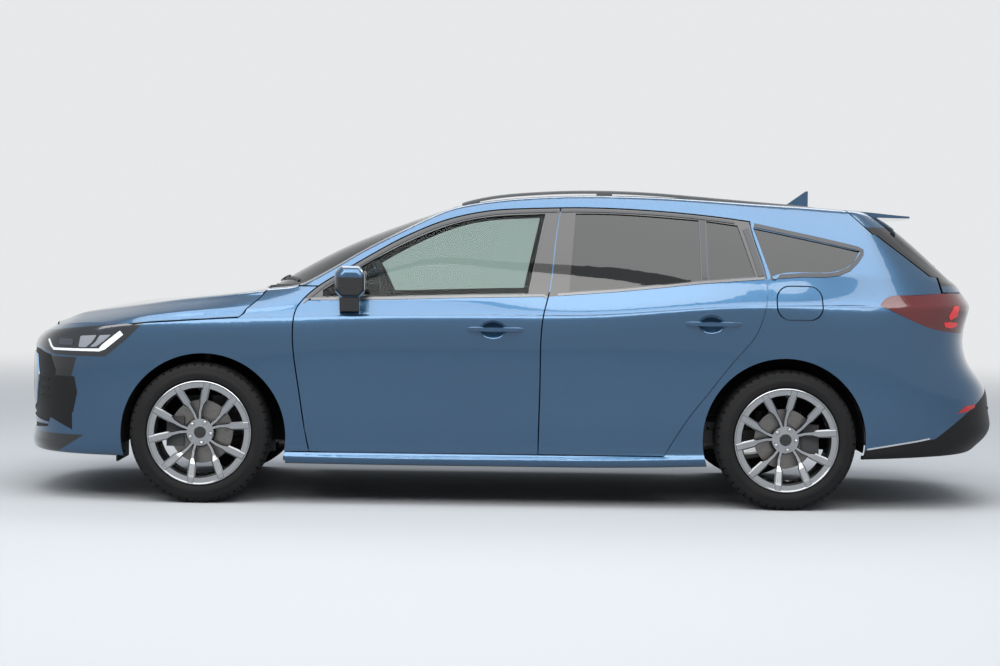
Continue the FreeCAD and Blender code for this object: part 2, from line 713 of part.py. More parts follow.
def top_wall(stations, drop_out, drop_in, narrow=0):
    """A wall of the top surface between stations; each drop is an (x, z) shift at each station."""
    grids = []
    for drops in (drop_out, drop_in):
        grid = []
        for x, drop in zip(stations, drops):
            half = [top_point(x, share, narrow) + vec(drop[0], 0, drop[1]) for share in across_shares]
            grid.append(half + [mirrored(point) for point in half[::-1]])
        grids.append(grid)
    return wall_between(*grids)


def spread(low, high, count):
    """Evenly spread values from low to high."""
    return [low + (high - low) * k / (count - 1) for k in range(count)]


def write(name, shapes):
    """Write one node's solids to its own file."""
    shape = shapes[0] if len(shapes) == 1 else Part.makeCompound(shapes)
    shape.exportStep(os.path.join("parts", name + ".step"))


# Sizes of the openings and pieces in the ends of the car
grille_outline_shares = (
    (0.000, 0.469), (0.460, 0.473), (0.701, 0.466), (0.813, 0.451), (0.842, 0.405), (0.824, 0.284),
    (0.767, 0.223), (0.614, 0.215), (0.000, 0.218),
)
tailgate_half_width = 592.0
tailgate_foot_z = 708.0
pillar_clear_y = 535.0
lamp_shelf_z = 1012.0
rear_glass_outline_shares = (
    (0.000, 0.711), (0.614, 0.715), (0.701, 0.731), (0.715, 0.770), (0.701, 0.831), (0.671, 0.866),
    (0.614, 0.880), (0.000, 0.889),
)
pillar_clear_shares = (
    (1.074, 1.014), (1.111, 1.014), (1.111, 0.945), (1.158, 0.863), (1.158, 0.811), (1.074, 0.811),
)
tailgate_side_shares = (
    (1.111, 0.945), (1.158, 0.863), (1.164, 0.861), (1.254, 0.734), (1.269, 0.730), (1.274, 0.684),
    (1.274, 0.432), (1.444, 0.432), (1.444, 1.081), (1.111, 1.081),
)
side_shell_shares = (
    (0.147, 0.068), (0.147, 0.162), (0.207, 0.162), (0.207, 0.680), (0.164, 0.680), (0.164, 1.081),
    (1.109, 1.081), (1.109, 0.945), (1.155, 0.863), (1.160, 0.862), (1.251, 0.733), (1.265, 0.730),
    (1.270, 0.682),
)
side_shell_low_shares = (
    (1.096, 0.338), (0.996, 0.220), (0.996, 0.068),
)
inner_shell_shares = (
    (0.143, 0.068), (0.143, 0.595), (0.164, 0.680), (0.164, 1.081), (1.106, 1.081), (1.106, 0.941),
    (1.151, 0.859), (1.157, 0.857), (1.247, 0.728), (1.259, 0.726), (1.259, 0.338), (1.096, 0.338),
    (0.996, 0.220), (0.996, 0.068),
)
fender_shell_shares = (
    (0.000, 0.220), (0.147, 0.166), (0.193, 0.166), (0.196, 0.676), (0.162, 0.676), (0.162, 0.743),
    (-0.163, 0.743), (-0.163, 0.462),
)
nose_cover_shares = (
    (-0.163, 0.462), (-0.163, 0.676), (-0.370, 0.676), (-0.370, 0.068), (0.000, 0.068),
    (0.000, 0.220),
)
tail_cover_shares = (
    (1.444, 0.565), (1.444, 0.068), (0.996, 0.068), (0.996, 0.220), (1.096, 0.338),
)
fuel_flap_x_shares = (0.9819, 1.0578)
fuel_flap_z_shares = (0.595, 0.696)
flap_round = 58.0
flap_skin = 6.0
flap_pocket_deep = 60.0
flap_gap = 6.0
hinge_x_share = 0.180
rear_hinge_x_share = 0.6005


def yz_points(shares):
    """Points of an outline seen along the car, from its table of shares."""
    return [(y * half_width, z * body_height) for y, z in shares]


def face_prism(half_points, x_from, x_to, grow=0.0):
    """A block with an outline seen along the car, the same on both sides."""
    left = [(-y, z) for y, z in half_points[::-1][1:-1]]
    outline = half_points + left
    chains = inset(closed(outline), [-grow] * len(outline))
    face = flat_face(chains, lambda y, z: vec(x_from, y, z))
    return face.extrude(vec(x_to - x_from, 0, 0))


def wide_prism(chains):
    """A side outline carried right across the car."""
    return side_prism(chains, near=-far_out)


def rounded_prism(x0, x1, z0, z1, radius, grow, near, deep):
    """A block with a rounded square outline seen from the left side."""
    low = (x0 - grow, z0 - grow)
    high = (x1 + grow, z1 + grow)
    body = Part.makeBox(high[0] - low[0], deep - near, high[1] - low[1], vec(low[0], -deep, low[1]))
    return body.makeFillet(radius + grow, [e for e in body.Edges if abs(e.tangentAt(e.FirstParameter).y) > 0.9])


# Left-side layers of the body wall, shared by the pieces cut from them
skin = layer(0, panel_skin, 0, TAIL_CENTRE)
side_skin = layer(0, pillar_skin, 0, TAIL_CENTRE)
frame_wall = deep_layer(pillar_skin - pillar_lap, door_wall, FIRST_WALL, TAIL_CENTRE - 2)
door_box_wall = deep_layer(door_skin - pillar_lap, door_wall, FIRST_WALL, TAIL_CENTRE - 2)
glass_layer = layer(glass_depth, glass_depth + glass_thick, 0, TAIL_CENTRE)
lamp_layer = layer(0, lamp_depth, 0, TAIL_CENTRE)
front_arch = tube_y(front_arch_x, front_arch_z, front_arch_radius, -far_out, far_out)
rear_arch = tube_y(rear_arch_x, rear_arch_z, rear_arch_radius, -far_out, far_out)
front_tools = aperture_tools(front_door_chains)
rear_tools = aperture_tools(rear_door_chains)
half_gap = panel_gap / 2


def crease_cutter():
    """What the bonnet's outline takes from its neighbours: everything above the side crease."""
    crease = section_line_shares[-2]
    rise = Line(station_xs, [share * body_height for share in crease[1][1:-1]])
    shares = [row[:2] for row in nose_crease_shares]
    foot = [(x, z - panel_gap) for x, z in side_points(shares)]
    for x in spread(station_xs[0] + cut_over, station_xs[0] + cut_over * 12, 12):
        foot.append((x, rise.at(x) - panel_gap))
    high = body_height * crease_cut_share
    outline = foot + [(foot[-1][0], high), (foot[0][0] - cut_over, high), (foot[0][0] - cut_over, foot[0][1])]
    return wide_prism(closed(outline)).common(plan_prism(bonnet_chains, 0, high, half_gap))


crease_cut_share = 1.1
bonnet_cutter = crease_cutter()
headlamp_cutter = side_prism(headlamp_chains, near=lamp_inner)
tail_lamp_cutter = side_prism(tail_lamp_chains, near=tailgate_half_width - panel_gap)
flap_low = (car_x(fuel_flap_x_shares[0]), fuel_flap_z_shares[0] * body_height)
flap_high = (car_x(fuel_flap_x_shares[1]), fuel_flap_z_shares[1] * body_height)
front_hinge = (car_x(hinge_x_share), -890.0)
rear_hinge = (car_x(rear_hinge_x_share), -892.0)


def flap_prism(grow, near, deep):
    """A block with the fuel flap's rounded outline."""
    return rounded_prism(flap_low[0], flap_high[0], flap_low[1], flap_high[1], flap_round, grow, near, deep)


def skin_y(x, z):
    """The half width of the left flank's skin at a place."""
    column = max(k for k in range(len(nose_wrap_shares), TAIL_CENTRE) if LINES[BELT_ROW][k].x <= x)
    before = column
    while LINES[BELT_ROW][before + 1].x < x:
        before += 1
    places = []
    for line in LINES:
        a, b = line[before], line[before + 1]
        t = (x - a.x) / (b.x - a.x)
        places.append((a.z + (b.z - a.z) * t, -(a.y + (b.y - a.y) * t)))
    for (z0, y0), (z1, y1) in zip(places, places[1:]):
        if z0 <= z <= z1:
            return y0 + (y1 - y0) * (z - z0) / (z1 - z0)
    return places[-1][1]


def body_side():
    """The left body side: pillars, roof edge, sill and rear quarter, open at the doors and window."""
    shell = side_points(side_shell_shares) + lamp_top_line[3::-1] + lamp_foot_line[::-1][1:4]
    outline = shell + seam_line[::-1] + side_points(side_shell_low_shares)
    outer = side_skin.common(side_prism(closed(outline)))
    window = side_prism(quarter_glass_chains)
    for tool in (front_tools[0], rear_tools[0], rear_arch, tail_lamp_cutter, window):
        outer = outer.cut(tool)
    inner = frame_wall.common(side_prism(closed(side_points(inner_shell_shares))))
    hinge_reliefs = []
    for (x, y), top in zip((front_hinge, rear_hinge), hinge_relief_tops):
        hinge_reliefs.append(Part.makeCylinder(hinge_clear, top - cut_over * 3, vec(x, y, cut_over * 3)))
    for tool in [front_tools[1], rear_tools[1], rear_arch, front_arch, window, tail_lamp_cutter] + hinge_reliefs:
        inner = inner.cut(tool)
    pads = []
    pad = layer(door_skin + seat_gap, pillar_skin, FIRST_WALL, TAIL_CENTRE - 2)
    for x, z in door_stops:
        corners = [(x, z), (x + stop_long, z), (x + stop_long, z + stop_high), (x, z + stop_high)]
        pads.append(one_solid(pad.common(side_prism(closed(corners)))))
    return one_solid(one_solid(outer).multiFuse([one_solid(inner)] + pads))


door_stops = ((car_x(0.5705), 620.0), (car_x(0.8850), 610.0), (car_x(0.1500), 560.0))
stop_long = 14.0
stop_high = 36.0


def with_flap_pocket(side):
    """The left body side with the pocket for the fuel flap."""
    middle_y = skin_y((flap_low[0] + flap_high[0]) / 2, (flap_low[1] + flap_high[1]) / 2)
    open_side = side.cut(flap_prism(flap_gap, middle_y - flap_pocket_deep, far_out))
    x = flap_high[0] - stop_long * 2
    z = (flap_low[1] + flap_high[1] - stop_long) / 2
    latch = layer(flap_skin + seat_gap, flap_pocket_deep + panel_gap, FIRST_WALL, TAIL_CENTRE - 2)
    latch = latch.common(side_prism(closed([(x, z), (x + stop_long, z), (x + stop_long, z + stop_long),
                                            (x, z + stop_long)])))
    return one_solid(open_side.fuse(one_solid(latch)))


def fuel_flap():
    """The fuel flap, flush with the left rear quarter."""
    flap = layer(0, flap_skin, 0, TAIL_CENTRE).common(flap_prism(0, half_width / 2, far_out))
    return one_solid(flap)


def fender():
    """The left front fender, from the headlamp to the door."""
    outline = side_points(fender_shell_shares) + fender_seam
    piece = skin.common(side_prism(closed(outline)))
    for tool in (bonnet_cutter, front_arch, headlamp_cutter, front_tools[0]):
        piece = piece.cut(tool)
    return one_solid(piece)


def front_bumper():
    """The front bumper cover, round the nose from arch to arch."""
    nose = layer(0, bumper_skin, 0, len(nose_wrap_shares) + 4, mirror_first=True)
    piece = nose.common(wide_prism(closed(side_points(nose_cover_shares) + fender_seam[::-1])))
    grille = face_prism(yz_points(grille_outline_shares), -far_out * 2, front_axle_x)
    for tool in (bonnet_cutter, front_arch, headlamp_cutter, mirror(headlamp_cutter), grille):
        piece = piece.cut(tool)
    return one_solid(piece)


def front_grilles():
    """The grille panel that fills the opening in the bumper."""
    nose = layer(bumper_skin / 2, bumper_skin * 2, 0, len(nose_wrap_shares) + 1, mirror_first=True)
    outline = face_prism(yz_points(grille_outline_shares), -far_out * 2, front_axle_x, grow=-seat_gap)
    return one_solid(nose.common(outline))


def rear_bumper():
    """The rear bumper cover, round the tail from arch to arch."""
    first = len(nose_wrap_shares) + len(flank_column_shares) - 6
    tail = layer(0, bumper_skin, first, TAIL_CENTRE, mirror_last=True)
    outline = side_points(tail_cover_shares) + seam_line
    piece = tail.common(wide_prism(closed(outline)))
    inner = tailgate_half_width + panel_gap / 2
    top = block((rear_axle_x, -inner, tailgate_foot_z - panel_gap), (far_out * 2, inner, body_height))
    for tool in (rear_arch, tail_lamp_cutter, mirror(tail_lamp_cutter), top):
        piece = piece.cut(tool)
    return one_solid(piece)


def tail_wall(depth_out, depth_in, rows=None):
    """A wall round the tail, from quarter to quarter."""
    first = len(nose_wrap_shares) + len(flank_column_shares) - 3
    return layer(depth_out, depth_in, first, TAIL_CENTRE, mirror_last=True, rows=rows)


def tailgate():
    """The tailgate with its roof spoiler, open for its window."""
    piece = tail_wall(0, tailgate_wall, rows=range(6, len(LINES))).common(
        wide_prism(closed(side_points(tailgate_side_shares))))
    inner = tailgate_half_width - panel_gap / 2
    low = tailgate_foot_z
    pieces = [block((front_axle_x, -far_out, 0), (far_out * 2, far_out, low))]
    for side in (-1, 1):
        ys = sorted((side * inner, side * far_out))
        pieces.append(block((front_axle_x, ys[0], 0), (far_out * 2, ys[1], lamp_shelf_z)))
    pieces.append(face_prism(yz_points(rear_glass_outline_shares), front_axle_x, far_out * 2))
    for tool in pieces:
        piece = piece.cut(tool)
    piece = one_solid(piece)
    stations = spread(rear_gap_x + panel_gap / 2, spoiler_tip_x, 6)
    thick = spread(spoiler_root, spoiler_edge, 6)
    spoiler = top_wall(stations, [(0, 0)] * 6, [(0, -t) for t in thick])
    beside = side_prism(closed(side_points(pillar_clear_shares)), near=pillar_clear_y)
    spoiler = spoiler.cut(beside).cut(mirror(beside))
    return one_solid(piece.fuse(spoiler))


def tailgate_glass():
    """The rear window."""
    glass = tail_wall(glass_depth, glass_depth + glass_thick, rows=range(6, len(LINES)))
    opening = face_prism(yz_points(rear_glass_outline_shares), front_axle_x, far_out * 2, grow=-seat_gap)
    return one_solid(glass.common(opening))


rear_gap_x = car_x(1.1095)
spoiler_tip_x = car_x(1.2407)
spoiler_root = 34.0
spoiler_edge = 9.0
header_x = car_x(0.4185)
screen_foot_x = car_x(0.100)


def roof_panel():
    """The roof skin with its lining, and the fin aerial on it."""
    stations = spread(header_x + panel_gap / 2, rear_gap_x - panel_gap / 2, 11)
    roof = top_wall(stations, [(0, 0)] * 11, [(0, -roof_thick)] * 11)
    front, tip, back = (car_x(share) for share in aerial_x_shares)
    outline = [(front, aerial_foot_z), (tip, aerial_top_z), (back, aerial_top_z), (back, aerial_foot_z)]
    fin = flat_face(closed(outline), lambda x, z: vec(x, -aerial_thick / 2, z))
    fin = fin.extrude(vec(0, aerial_thick, 0))
    return one_solid(roof.fuse(fin))


aerial_x_shares = (1.026, 1.072, 1.076)
aerial_foot_z = 1408.0
aerial_top_z = 1496.0
aerial_thick = 34.0


def windscreen():
    """The windscreen, bowed across and raked back."""
    stations = spread(screen_foot_x, header_x - panel_gap / 2, 8)
    drop = (screen_shift, -screen_shift)
    return top_wall(stations, [drop] * 8, [(drop[0] + screen_thick / 2, drop[1] - screen_thick)] * 8, seat_gap * 2)


def bonnet():
    """The bonnet, a clamshell that folds down over the fender tops to the side creases."""
    wall = bonnet_wall(0, bonnet_thick)
    return one_solid(wall.common(plan_prism(bonnet_chains, 0, body_height, -panel_gap / 2)))


def tail_lamp():
    """The left tail lamp."""
    outline = side_prism(inset(tail_lamp_chains, [seat_gap] * 3), near=tailgate_half_width)
    return one_solid(lamp_layer.common(outline))


def headlamp():
    """The left headlamp."""
    outline = side_prism(inset(headlamp_chains, [seat_gap] * len(headlamp_chains)), near=lamp_inner)
    return one_solid(lamp_layer.common(outline).cut(bonnet_cutter))


def cowl():
    """The scuttle panel between the bonnet's rear edge and the windscreen's foot."""
    grids = []
    bonnet_edge = Line([-y for x, y in bonnet_rear_line[1:]], [x for x, y in bonnet_rear_line[1:]])
    for drop in (0, cowl_thick):
        grid = []
        for step, down in zip(cowl_step_shares, cowl_downs):
            half = []
            for across in across_shares:
                foot = top_point(screen_foot_x, across * cowl_reach_share)
                start = bonnet_edge.at(max(foot.y, -cowl_half_width)) - cowl_tuck
                rise = foot.z - cowl_seat - cowl_drop
                x = start + (foot.x + screen_shift - cowl_seat - start) * step
                half.append(vec(x, foot.y, rise + cowl_drop * (1 - down) - drop))
            grid.append(half + [mirrored(point) for point in half[::-1]])
        grids.append(grid)
    return wall_between(*grids)


cowl_step_shares = (0.0, 0.25, 0.5, 0.75, 1.0)
cowl_downs = (0.25, 0.75, 0.65, 0.35, 0.0)
cowl_half_width = 760.0
cowl_tuck = -7.0
cowl_seat = 0.3
cowl_drop = 44.0
screen_shift = 2.0
cowl_reach_share = 0.97


def quarter_window():
    """The left fixed window behind the rear door."""
    return one_solid(pane(quarter_glass_chains, glass_layer))


rail_shares = (
    (0.441, 0.947), (0.455, 0.955), (0.470, 0.962), (0.505, 0.974), (0.558, 0.984), (0.622, 0.991),
    (0.681, 0.993), (0.769, 0.989), (0.857, 0.978), (0.944, 0.966), (1.033, 0.954), (1.067, 0.947),
    (1.085, 0.940),
)
rail_width = 28.0
rail_thick = 15.0
rail_in = 22.0
rail_feet_x_shares = (0.458, 0.690, 1.072)
rail_foot_long = 74.0
rail_lift = 0.4


def lofted(sections, ruled=False):
    """A solid drawn through outlines."""
    wires = [Part.makePolygon(list(points) + [points[0]]) for points in sections]
    return outward(Part.makeLoft(wires, True, ruled))


def roof_height(x, y):
    """The height of the roof's skin on the left at a place, read along its edge's rise."""
    low, high = x - far_out / 4, x
    for step in range(24):
        middle = (low + high) / 2
        side = edge_y.at(top_edge_x.at(middle)) - roll_in * 2 - roof_side_gap
        if top_point(middle, min(1.0, y / side)).x < x:
            low = middle
        else:
            high = middle
    side = edge_y.at(top_edge_x.at(low)) - roll_in * 2 - roof_side_gap
    return top_point(low, min(1.0, y / side)).z


def roof_rail(roof):
    """The left roof rail, a bar on three feet that stand on the roof."""
    sections = []
    points = side_points(rail_shares)
    for x, z in points:
        y = edge_y.at(x) - roll_in * 2 - rail_in
        ends = (y - rail_width / 2, y + rail_width / 2)
        low = z - rail_thick
        sections.append([vec(x, -ends[0], low), vec(x, -ends[1], low), vec(x, -ends[1], z - rail_thick / 3),
                         vec(x, -ends[1] + rail_width / 5, z), vec(x, -ends[0] - rail_width / 5, z),
                         vec(x, -ends[0], z - rail_thick / 3)])
    rail = lofted(sections)
    top = Line([x for x, z in points], [z for x, z in points])
    feet = []
    for share in rail_feet_x_shares:
        x = car_x(share)
        outlines = []
        for at, long in ((x - rail_foot_long / 2, 0), (x + rail_foot_long / 2, 0)):
            y = edge_y.at(at) - roll_in * 2 - rail_in
            low = roof_height(at, y) - roof_thick / 2
            high = top.at(at) - rail_thick / 2
            a, b = y - rail_width / 2.4, y + rail_width / 2.4
            outlines.append([vec(at, -a, low), vec(at, -b, low), vec(at, -b, high), vec(at, -a, high)])
        feet.append(lofted(outlines, ruled=True))
    return one_solid(fused([rail] + feet).cut(roof))


# Wheels, tyres and brakes; the profiles are points of y outwards from the wheel's middle and radius
tyre_profile_shares = (
    (-0.436, 0.661), (-0.436, 0.744), (-0.490, 0.792), (-0.500, 0.835), (-0.482, 0.890), (-0.440, 0.950),
    (-0.395, 0.982), (-0.300, 0.996), (0, 1.0), (0.300, 0.996), (0.395, 0.982), (0.440, 0.950), (0.482, 0.890),
    (0.500, 0.835), (0.490, 0.792), (0.436, 0.744), (0.436, 0.661))
rim_profile_shares = (
    (-0.440, 0.660), (-0.440, 0.734), (-0.464, 0.738), (-0.470, 0.710), (-0.460, 0.640), (-0.300, 0.618),
    (0.20, 0.612), (0.360, 0.622), (0.446, 0.642), (0.454, 0.712), (0.472, 0.728), (0.466, 0.738),
    (0.440, 0.734), (0.440, 0.660), (0.300, 0.655), (0, 0.648), (-0.300, 0.655))
full_turn = 360.0
hub_radius = 62.0
hub_hole_radius = 27.0
hub_face = 66.0
mount_face = 40.0
disc_inner = -13.5
disc_outer = 10.5
hat_radius = 70.0
front_disc_radius = 146.0
rear_disc_radius = 138.0
nut_circle = 50.0
nut_radius = 10.5
nut_deep = 14.0
nut_hole_radius = 6.5
nut_count = 5
front_nut_angle = 63.0
rear_nut_angle = 67.0
spoke_pair_angle = 99.0
hub_chamfer = 4.0
hub_draft = 8.0
disc_bell = 20.0
top_angle = 90.0
# Stations along a spoke: radius, width and thickness, the angle from the pair's middle, and its face
spoke_shares = (
    (0.150, 0.048, 0.080, 6.5, 0.285), (0.285, 0.052, 0.085, 9.0, 0.310), (0.385, 0.062, 0.090, 12.5, 0.345),
    (0.455, 0.112, 0.090, 15.2, 0.385), (0.610, 0.118, 0.080, 17.0, 0.445), (0.646, 0.114, 0.014, 17.3, 0.460),
    (0.716, 0.108, 0.012, 17.7, 0.468))
spoke_chamfer = 5.0


def wheel_solids():
    """A wheel centred on the origin with its face towards -Y: the tyre, then the alloy rim."""
    radius = tyre_diameter / 2
    tyre = ring_y([(-y * tyre_width, r * radius) for y, r in tyre_profile_shares], 0, 0)
    barrel = ring_y([(-y * tyre_width, r * radius) for y, r in rim_profile_shares], 0, 0)
    middle = [(-mount_face, hub_hole_radius), (-hub_face, hub_hole_radius), (-hub_face + hub_chamfer, hub_radius),
              (-mount_face, hub_radius + hub_draft)]
    pieces = [barrel, ring_y(middle, 0, 0)]
    for k in range(nut_count):
        for hand in (-1, 1):
            pieces.append(spoke(full_turn / nut_count * k, hand))
    return one_solid(tyre), one_solid(fused(pieces))


def spoke(turn, hand):
    """One blade of a pair of spokes: narrow at the hub, it widens where it bends apart from its twin."""
    radius = tyre_diameter / 2
    outlines = []
    for far, wide_share, thick_share, apart, face_share in spoke_shares:
        angle = math.radians(top_angle + turn + hand * apart)
        wide, thick = wide_share * radius, thick_share * radius
        face = face_share * tyre_width
        edge = wide / 3
        out = vec(math.cos(angle), 0, math.sin(angle)) * (far * radius)
        across = vec(-math.sin(angle), 0, math.cos(angle))
        corners = []
        for a, y in ((-wide / 2, face - spoke_chamfer), (-edge, face), (edge, face), (wide / 2, face - spoke_chamfer),
                     (edge, face - thick), (-edge, face - thick)):
            corners.append(out + across * a + vec(0, -y, 0))
        outlines.append(corners)
    return lofted(outlines, ruled=True)


def wheel_set(name_tyre, name_wheel, x, track, disc_radius, nut_angle):
    """A pair of wheels on one axle: each side's tyre and its rim with the brake disc."""
    tyre, rim = wheel_solids()
    rim = rim.copy()
    rim.rotate(vec(0, 0, 0), vec(0, 1, 0), top_angle - spoke_pair_angle)
    for k in range(nut_count):
        angle = math.radians(nut_angle + full_turn / nut_count * k)
        at = (math.cos(angle) * nut_circle, math.sin(angle) * nut_circle)
        rim = rim.cut(tube_y(at[0], at[1], nut_hole_radius, -hub_face * 2, 0))
        rim = rim.cut(tube_y(at[0], at[1], nut_radius, -hub_face * 2, -mount_face - nut_deep))
    disc = ring_y([(-disc_outer, hub_hole_radius + disc_bell), (-disc_outer, disc_radius), (-disc_inner, disc_radius),
                   (-disc_inner, hub_hole_radius)], 0, 0)
    hat = ring_y([(-mount_face, hub_hole_radius), (-mount_face, hat_radius), (-disc_inner, hat_radius),
                  (-disc_inner, hub_hole_radius)], 0, 0)
    rim = one_solid(fused([rim, disc, hat]))
    solids = {}
    for side, end in (("l", -1), ("r", 1)):
        for name, piece in ((name_tyre, tyre), (name_wheel, rim)):
            moved = piece.copy()
            moved.translate(vec(x, -track / 2, axle_height))
            solids[name + side] = moved if end < 0 else mirror(moved)
    return solids


# Door furniture
front_handle_x = (car_x(0.4548), car_x(0.5496))
rear_handle_x = (car_x(0.8252), car_x(0.9196))
front_handle_z = 817.0
rear_handle_z = 855.0
front_cup = (car_x(0.4981), 815.0)
rear_cup = (car_x(0.8687), 852.0)
cup_long = 62.0
cup_high = 44.0
cup_deep = 17.0
handle_proud = 34.0
handle_thick = 15.0
handle_high = 23.0
handle_end_long = 24.0
handle_bury = 4.0


def handle(span, z):
    """A pull handle on a left door, a bar that stands off the skin between its two ends."""
    outlines = []
    ends = (span[0], span[0] + handle_end_long, span[0] + handle_end_long * 3)
    xs = ends + (span[1] - handle_end_long * 3, span[1] - handle_end_long, span[1])
    stands = (-handle_bury, 0, handle_proud - handle_thick, handle_proud - handle_thick, 0, -handle_bury)
    prouds = (handle_bury, handle_proud * 0.8, handle_proud, handle_proud, handle_proud * 0.8, handle_bury)
    for x, stand, proud in zip(xs, stands, prouds):
        high = handle_high * (0.7 if x in (xs[0], xs[-1]) else 1)
        y = skin_y(x, z)
        inner, outer = -(y + stand), -(y + proud)
        outlines.append([vec(x, inner, z - high / 2), vec(x, outer, z - high / 3), vec(x, outer, z + high / 3),
                         vec(x, inner, z + high / 2)])
    return lofted(outlines, ruled=True)


def cup(at):
    """The scoop behind a pull handle."""
    x, z = at
    scoop = Part.makeSphere(cup_deep)
    scale = FreeCAD.Matrix()
    scale.scale(cup_long / cup_deep, 1, cup_high / cup_deep)
    scoop = scoop.transformGeometry(scale)
    scoop.translate(vec(x, -skin_y(x, z), z))
    return scoop


def furnished_door(outline, openings, handle_span, handle_z, cup_at):
    """A left door with its scoop and pull handle."""
    panel = door(outline, openings, door_skin_layer, door_box_wall)
    panel = panel.cut(cup(cup_at))
    return one_solid(panel.fuse(handle(handle_span, handle_z)))


door_skin_layer = layer(0, door_skin, 0, TAIL_CENTRE)

# Mirrors: outlines along y, each its middle x, middle z, half length and half height
mirror_y_from = 868.0
mirror_sections = ((890.0, 0.2560, 0.694, 42.0, 46.0), (905.0, 0.2556, 0.694, 64.0, 65.0),
                   (935.0, 0.2552, 0.694, 71.0, 73.0), (975.0, 0.2560, 0.694, 69.0, 70.0),
                   (1000.0, 0.2575, 0.694, 58.0, 58.0), (1010.0, 0.2590, 0.694, 38.0, 40.0))
mirror_foot_x_shares = (0.236, 0.270)
mirror_foot_low = 888.0
mirror_foot_high = 1000.0
mirror_foot_out = 34.0
corner_cut_share = 0.42


def octagon(x, y, z, long, high):
    """An eight-sided outline in a plane across the car's width."""
    a, b = long * (1 - corner_cut_share), high * (1 - corner_cut_share)
    return [vec(x - long, y, z - b), vec(x - a, y, z - high), vec(x + a, y, z - high), vec(x + long, y, z - b),
            vec(x + long, y, z + b), vec(x + a, y, z + high), vec(x - a, y, z + high), vec(x - long, y, z + b)]


def door_mirror(panel):
    """The left door mirror on its foot; the door it stands on trims the foot."""
    head = lofted([octagon(car_x(x), -y, z * body_height, a, b) for y, x, z, a, b in mirror_sections])
    x0, x1 = (car_x(share) for share in mirror_foot_x_shares)
    foot = []
    for z, out in ((mirror_foot_low, 0), (mirror_foot_high, mirror_foot_out)):
        y0 = -(mirror_y_from - cut_over / 2 + out)
        y1 = -(mirror_y_from + cut_over / 4 + out)
        foot.append([vec(x0, y0, z), vec(x1, y0, z), vec(x1, y1, z), vec(x0, y1, z)])
    whole = one_solid(head.fuse(lofted(foot, ruled=True)))
    return one_solid(whole.cut(panel))


# Cabin
steer_x = car_x(0.318)
steer_y = -370.0
steer_z = 948.0
steer_radius = 178.0
steer_rim = 14.0
steer_tilt = 24.0
steer_hub_radius = 62.0
steer_hub_thick = 46.0
steer_bar_turns = (-90.0, 90.0, 180.0)
bar_wide_share = 1.2
bar_back_share = 1.4
bar_front_share = 0.4
column_long_share = 1.1
column_radius = 34.0
dash_half_width = 700.0
dash_shares = (
    (0.148, 0.432), (0.207, 0.419), (0.237, 0.466), (0.249, 0.541), (0.244, 0.608), (0.226, 0.649),
    (0.200, 0.673), (0.174, 0.676), (0.157, 0.649), (0.148, 0.608),
)
seat_half_width = 255.0
seat_y = 370.0
seat_soft = 34.0


def steering_wheel():
    """The steering wheel, on the left, square to its column."""
    rim = Part.makeTorus(steer_radius, steer_rim)
    hub = Part.makeCylinder(steer_hub_radius, steer_hub_thick, vec(0, 0, -steer_hub_thick))
    pieces = [rim, hub]
    for turn in steer_bar_turns:
        bar = block((0, -steer_rim * bar_wide_share, -steer_rim * bar_back_share),
                    (steer_radius, steer_rim * bar_wide_share, -steer_rim * bar_front_share))
        bar.rotate(vec(0, 0, 0), vec(0, 0, 1), turn)
        pieces.append(bar)
    whole = one_solid(fused(pieces))
    whole.rotate(vec(0, 0, 0), vec(0, 1, 0), top_angle - steer_tilt)
    whole.translate(vec(steer_x, steer_y, steer_z))
    return whole


def dashboard(side):
    """The dashboard with the steering column's shroud; it ends on the body sides."""
    face = flat_face(closed(side_points(dash_shares)), lambda x, z: vec(x, -dash_half_width, z))
    dash = face.extrude(vec(0, dash_half_width * 2, 0))
    tilt = math.radians(steer_tilt)
    run = vec(-math.cos(tilt), 0, -math.sin(tilt))
    start = vec(steer_x, steer_y, steer_z) + run * (steer_hub_thick + seat_gap)
    shroud = Part.makeCylinder(column_radius, steer_radius * column_long_share, start, run)
    bracket = block((dash_tab[0], -half_width, dash_tab_z[0]),
                    (dash_tab[1], -dash_half_width + sill_tab_long, dash_tab_z[1]))
    bracket = max(bracket.cut(side).Solids, key=lambda solid: solid.BoundBox.YMax)
    return one_solid(fused([dash, shroud, bracket, mirror(bracket)]))


dash_tab = (car_x(0.1490), car_x(0.1620))
dash_tab_z = (800.0, 890.0)


def soft_block(low, high, radius):
    """A block with all its edges rounded."""
    shape = block(low, high)
    return shape.makeFillet(radius, shape.Edges)


def seat(y0, y1, x, z, deep, back_high, back_lean, head):
    """A seat: a cushion, a leaning back and, where asked, headrests at the given ys."""
    cushion = soft_block((x, y0, z - cushion_thick), (x + deep, y1, z), seat_soft)
    back = soft_block((0, y0 + back_inset, -cushion_thick / 2), (cushion_thick, y1 - back_inset, back_high),
                      seat_soft)
    parts = [back]
    for y in head:
        rest = soft_block((rest_in, y - head_half, back_high - rest_bury),
                          (cushion_thick - rest_in, y + head_half, back_high + head_high), rest_soft)
        parts.append(rest)
    whole = fused(parts)
    whole.rotate(vec(0, 0, 0), vec(0, 1, 0), back_lean)
    whole.translate(vec(x + deep - back_overlap, 0, z))
    return one_solid(cushion.fuse(whole))


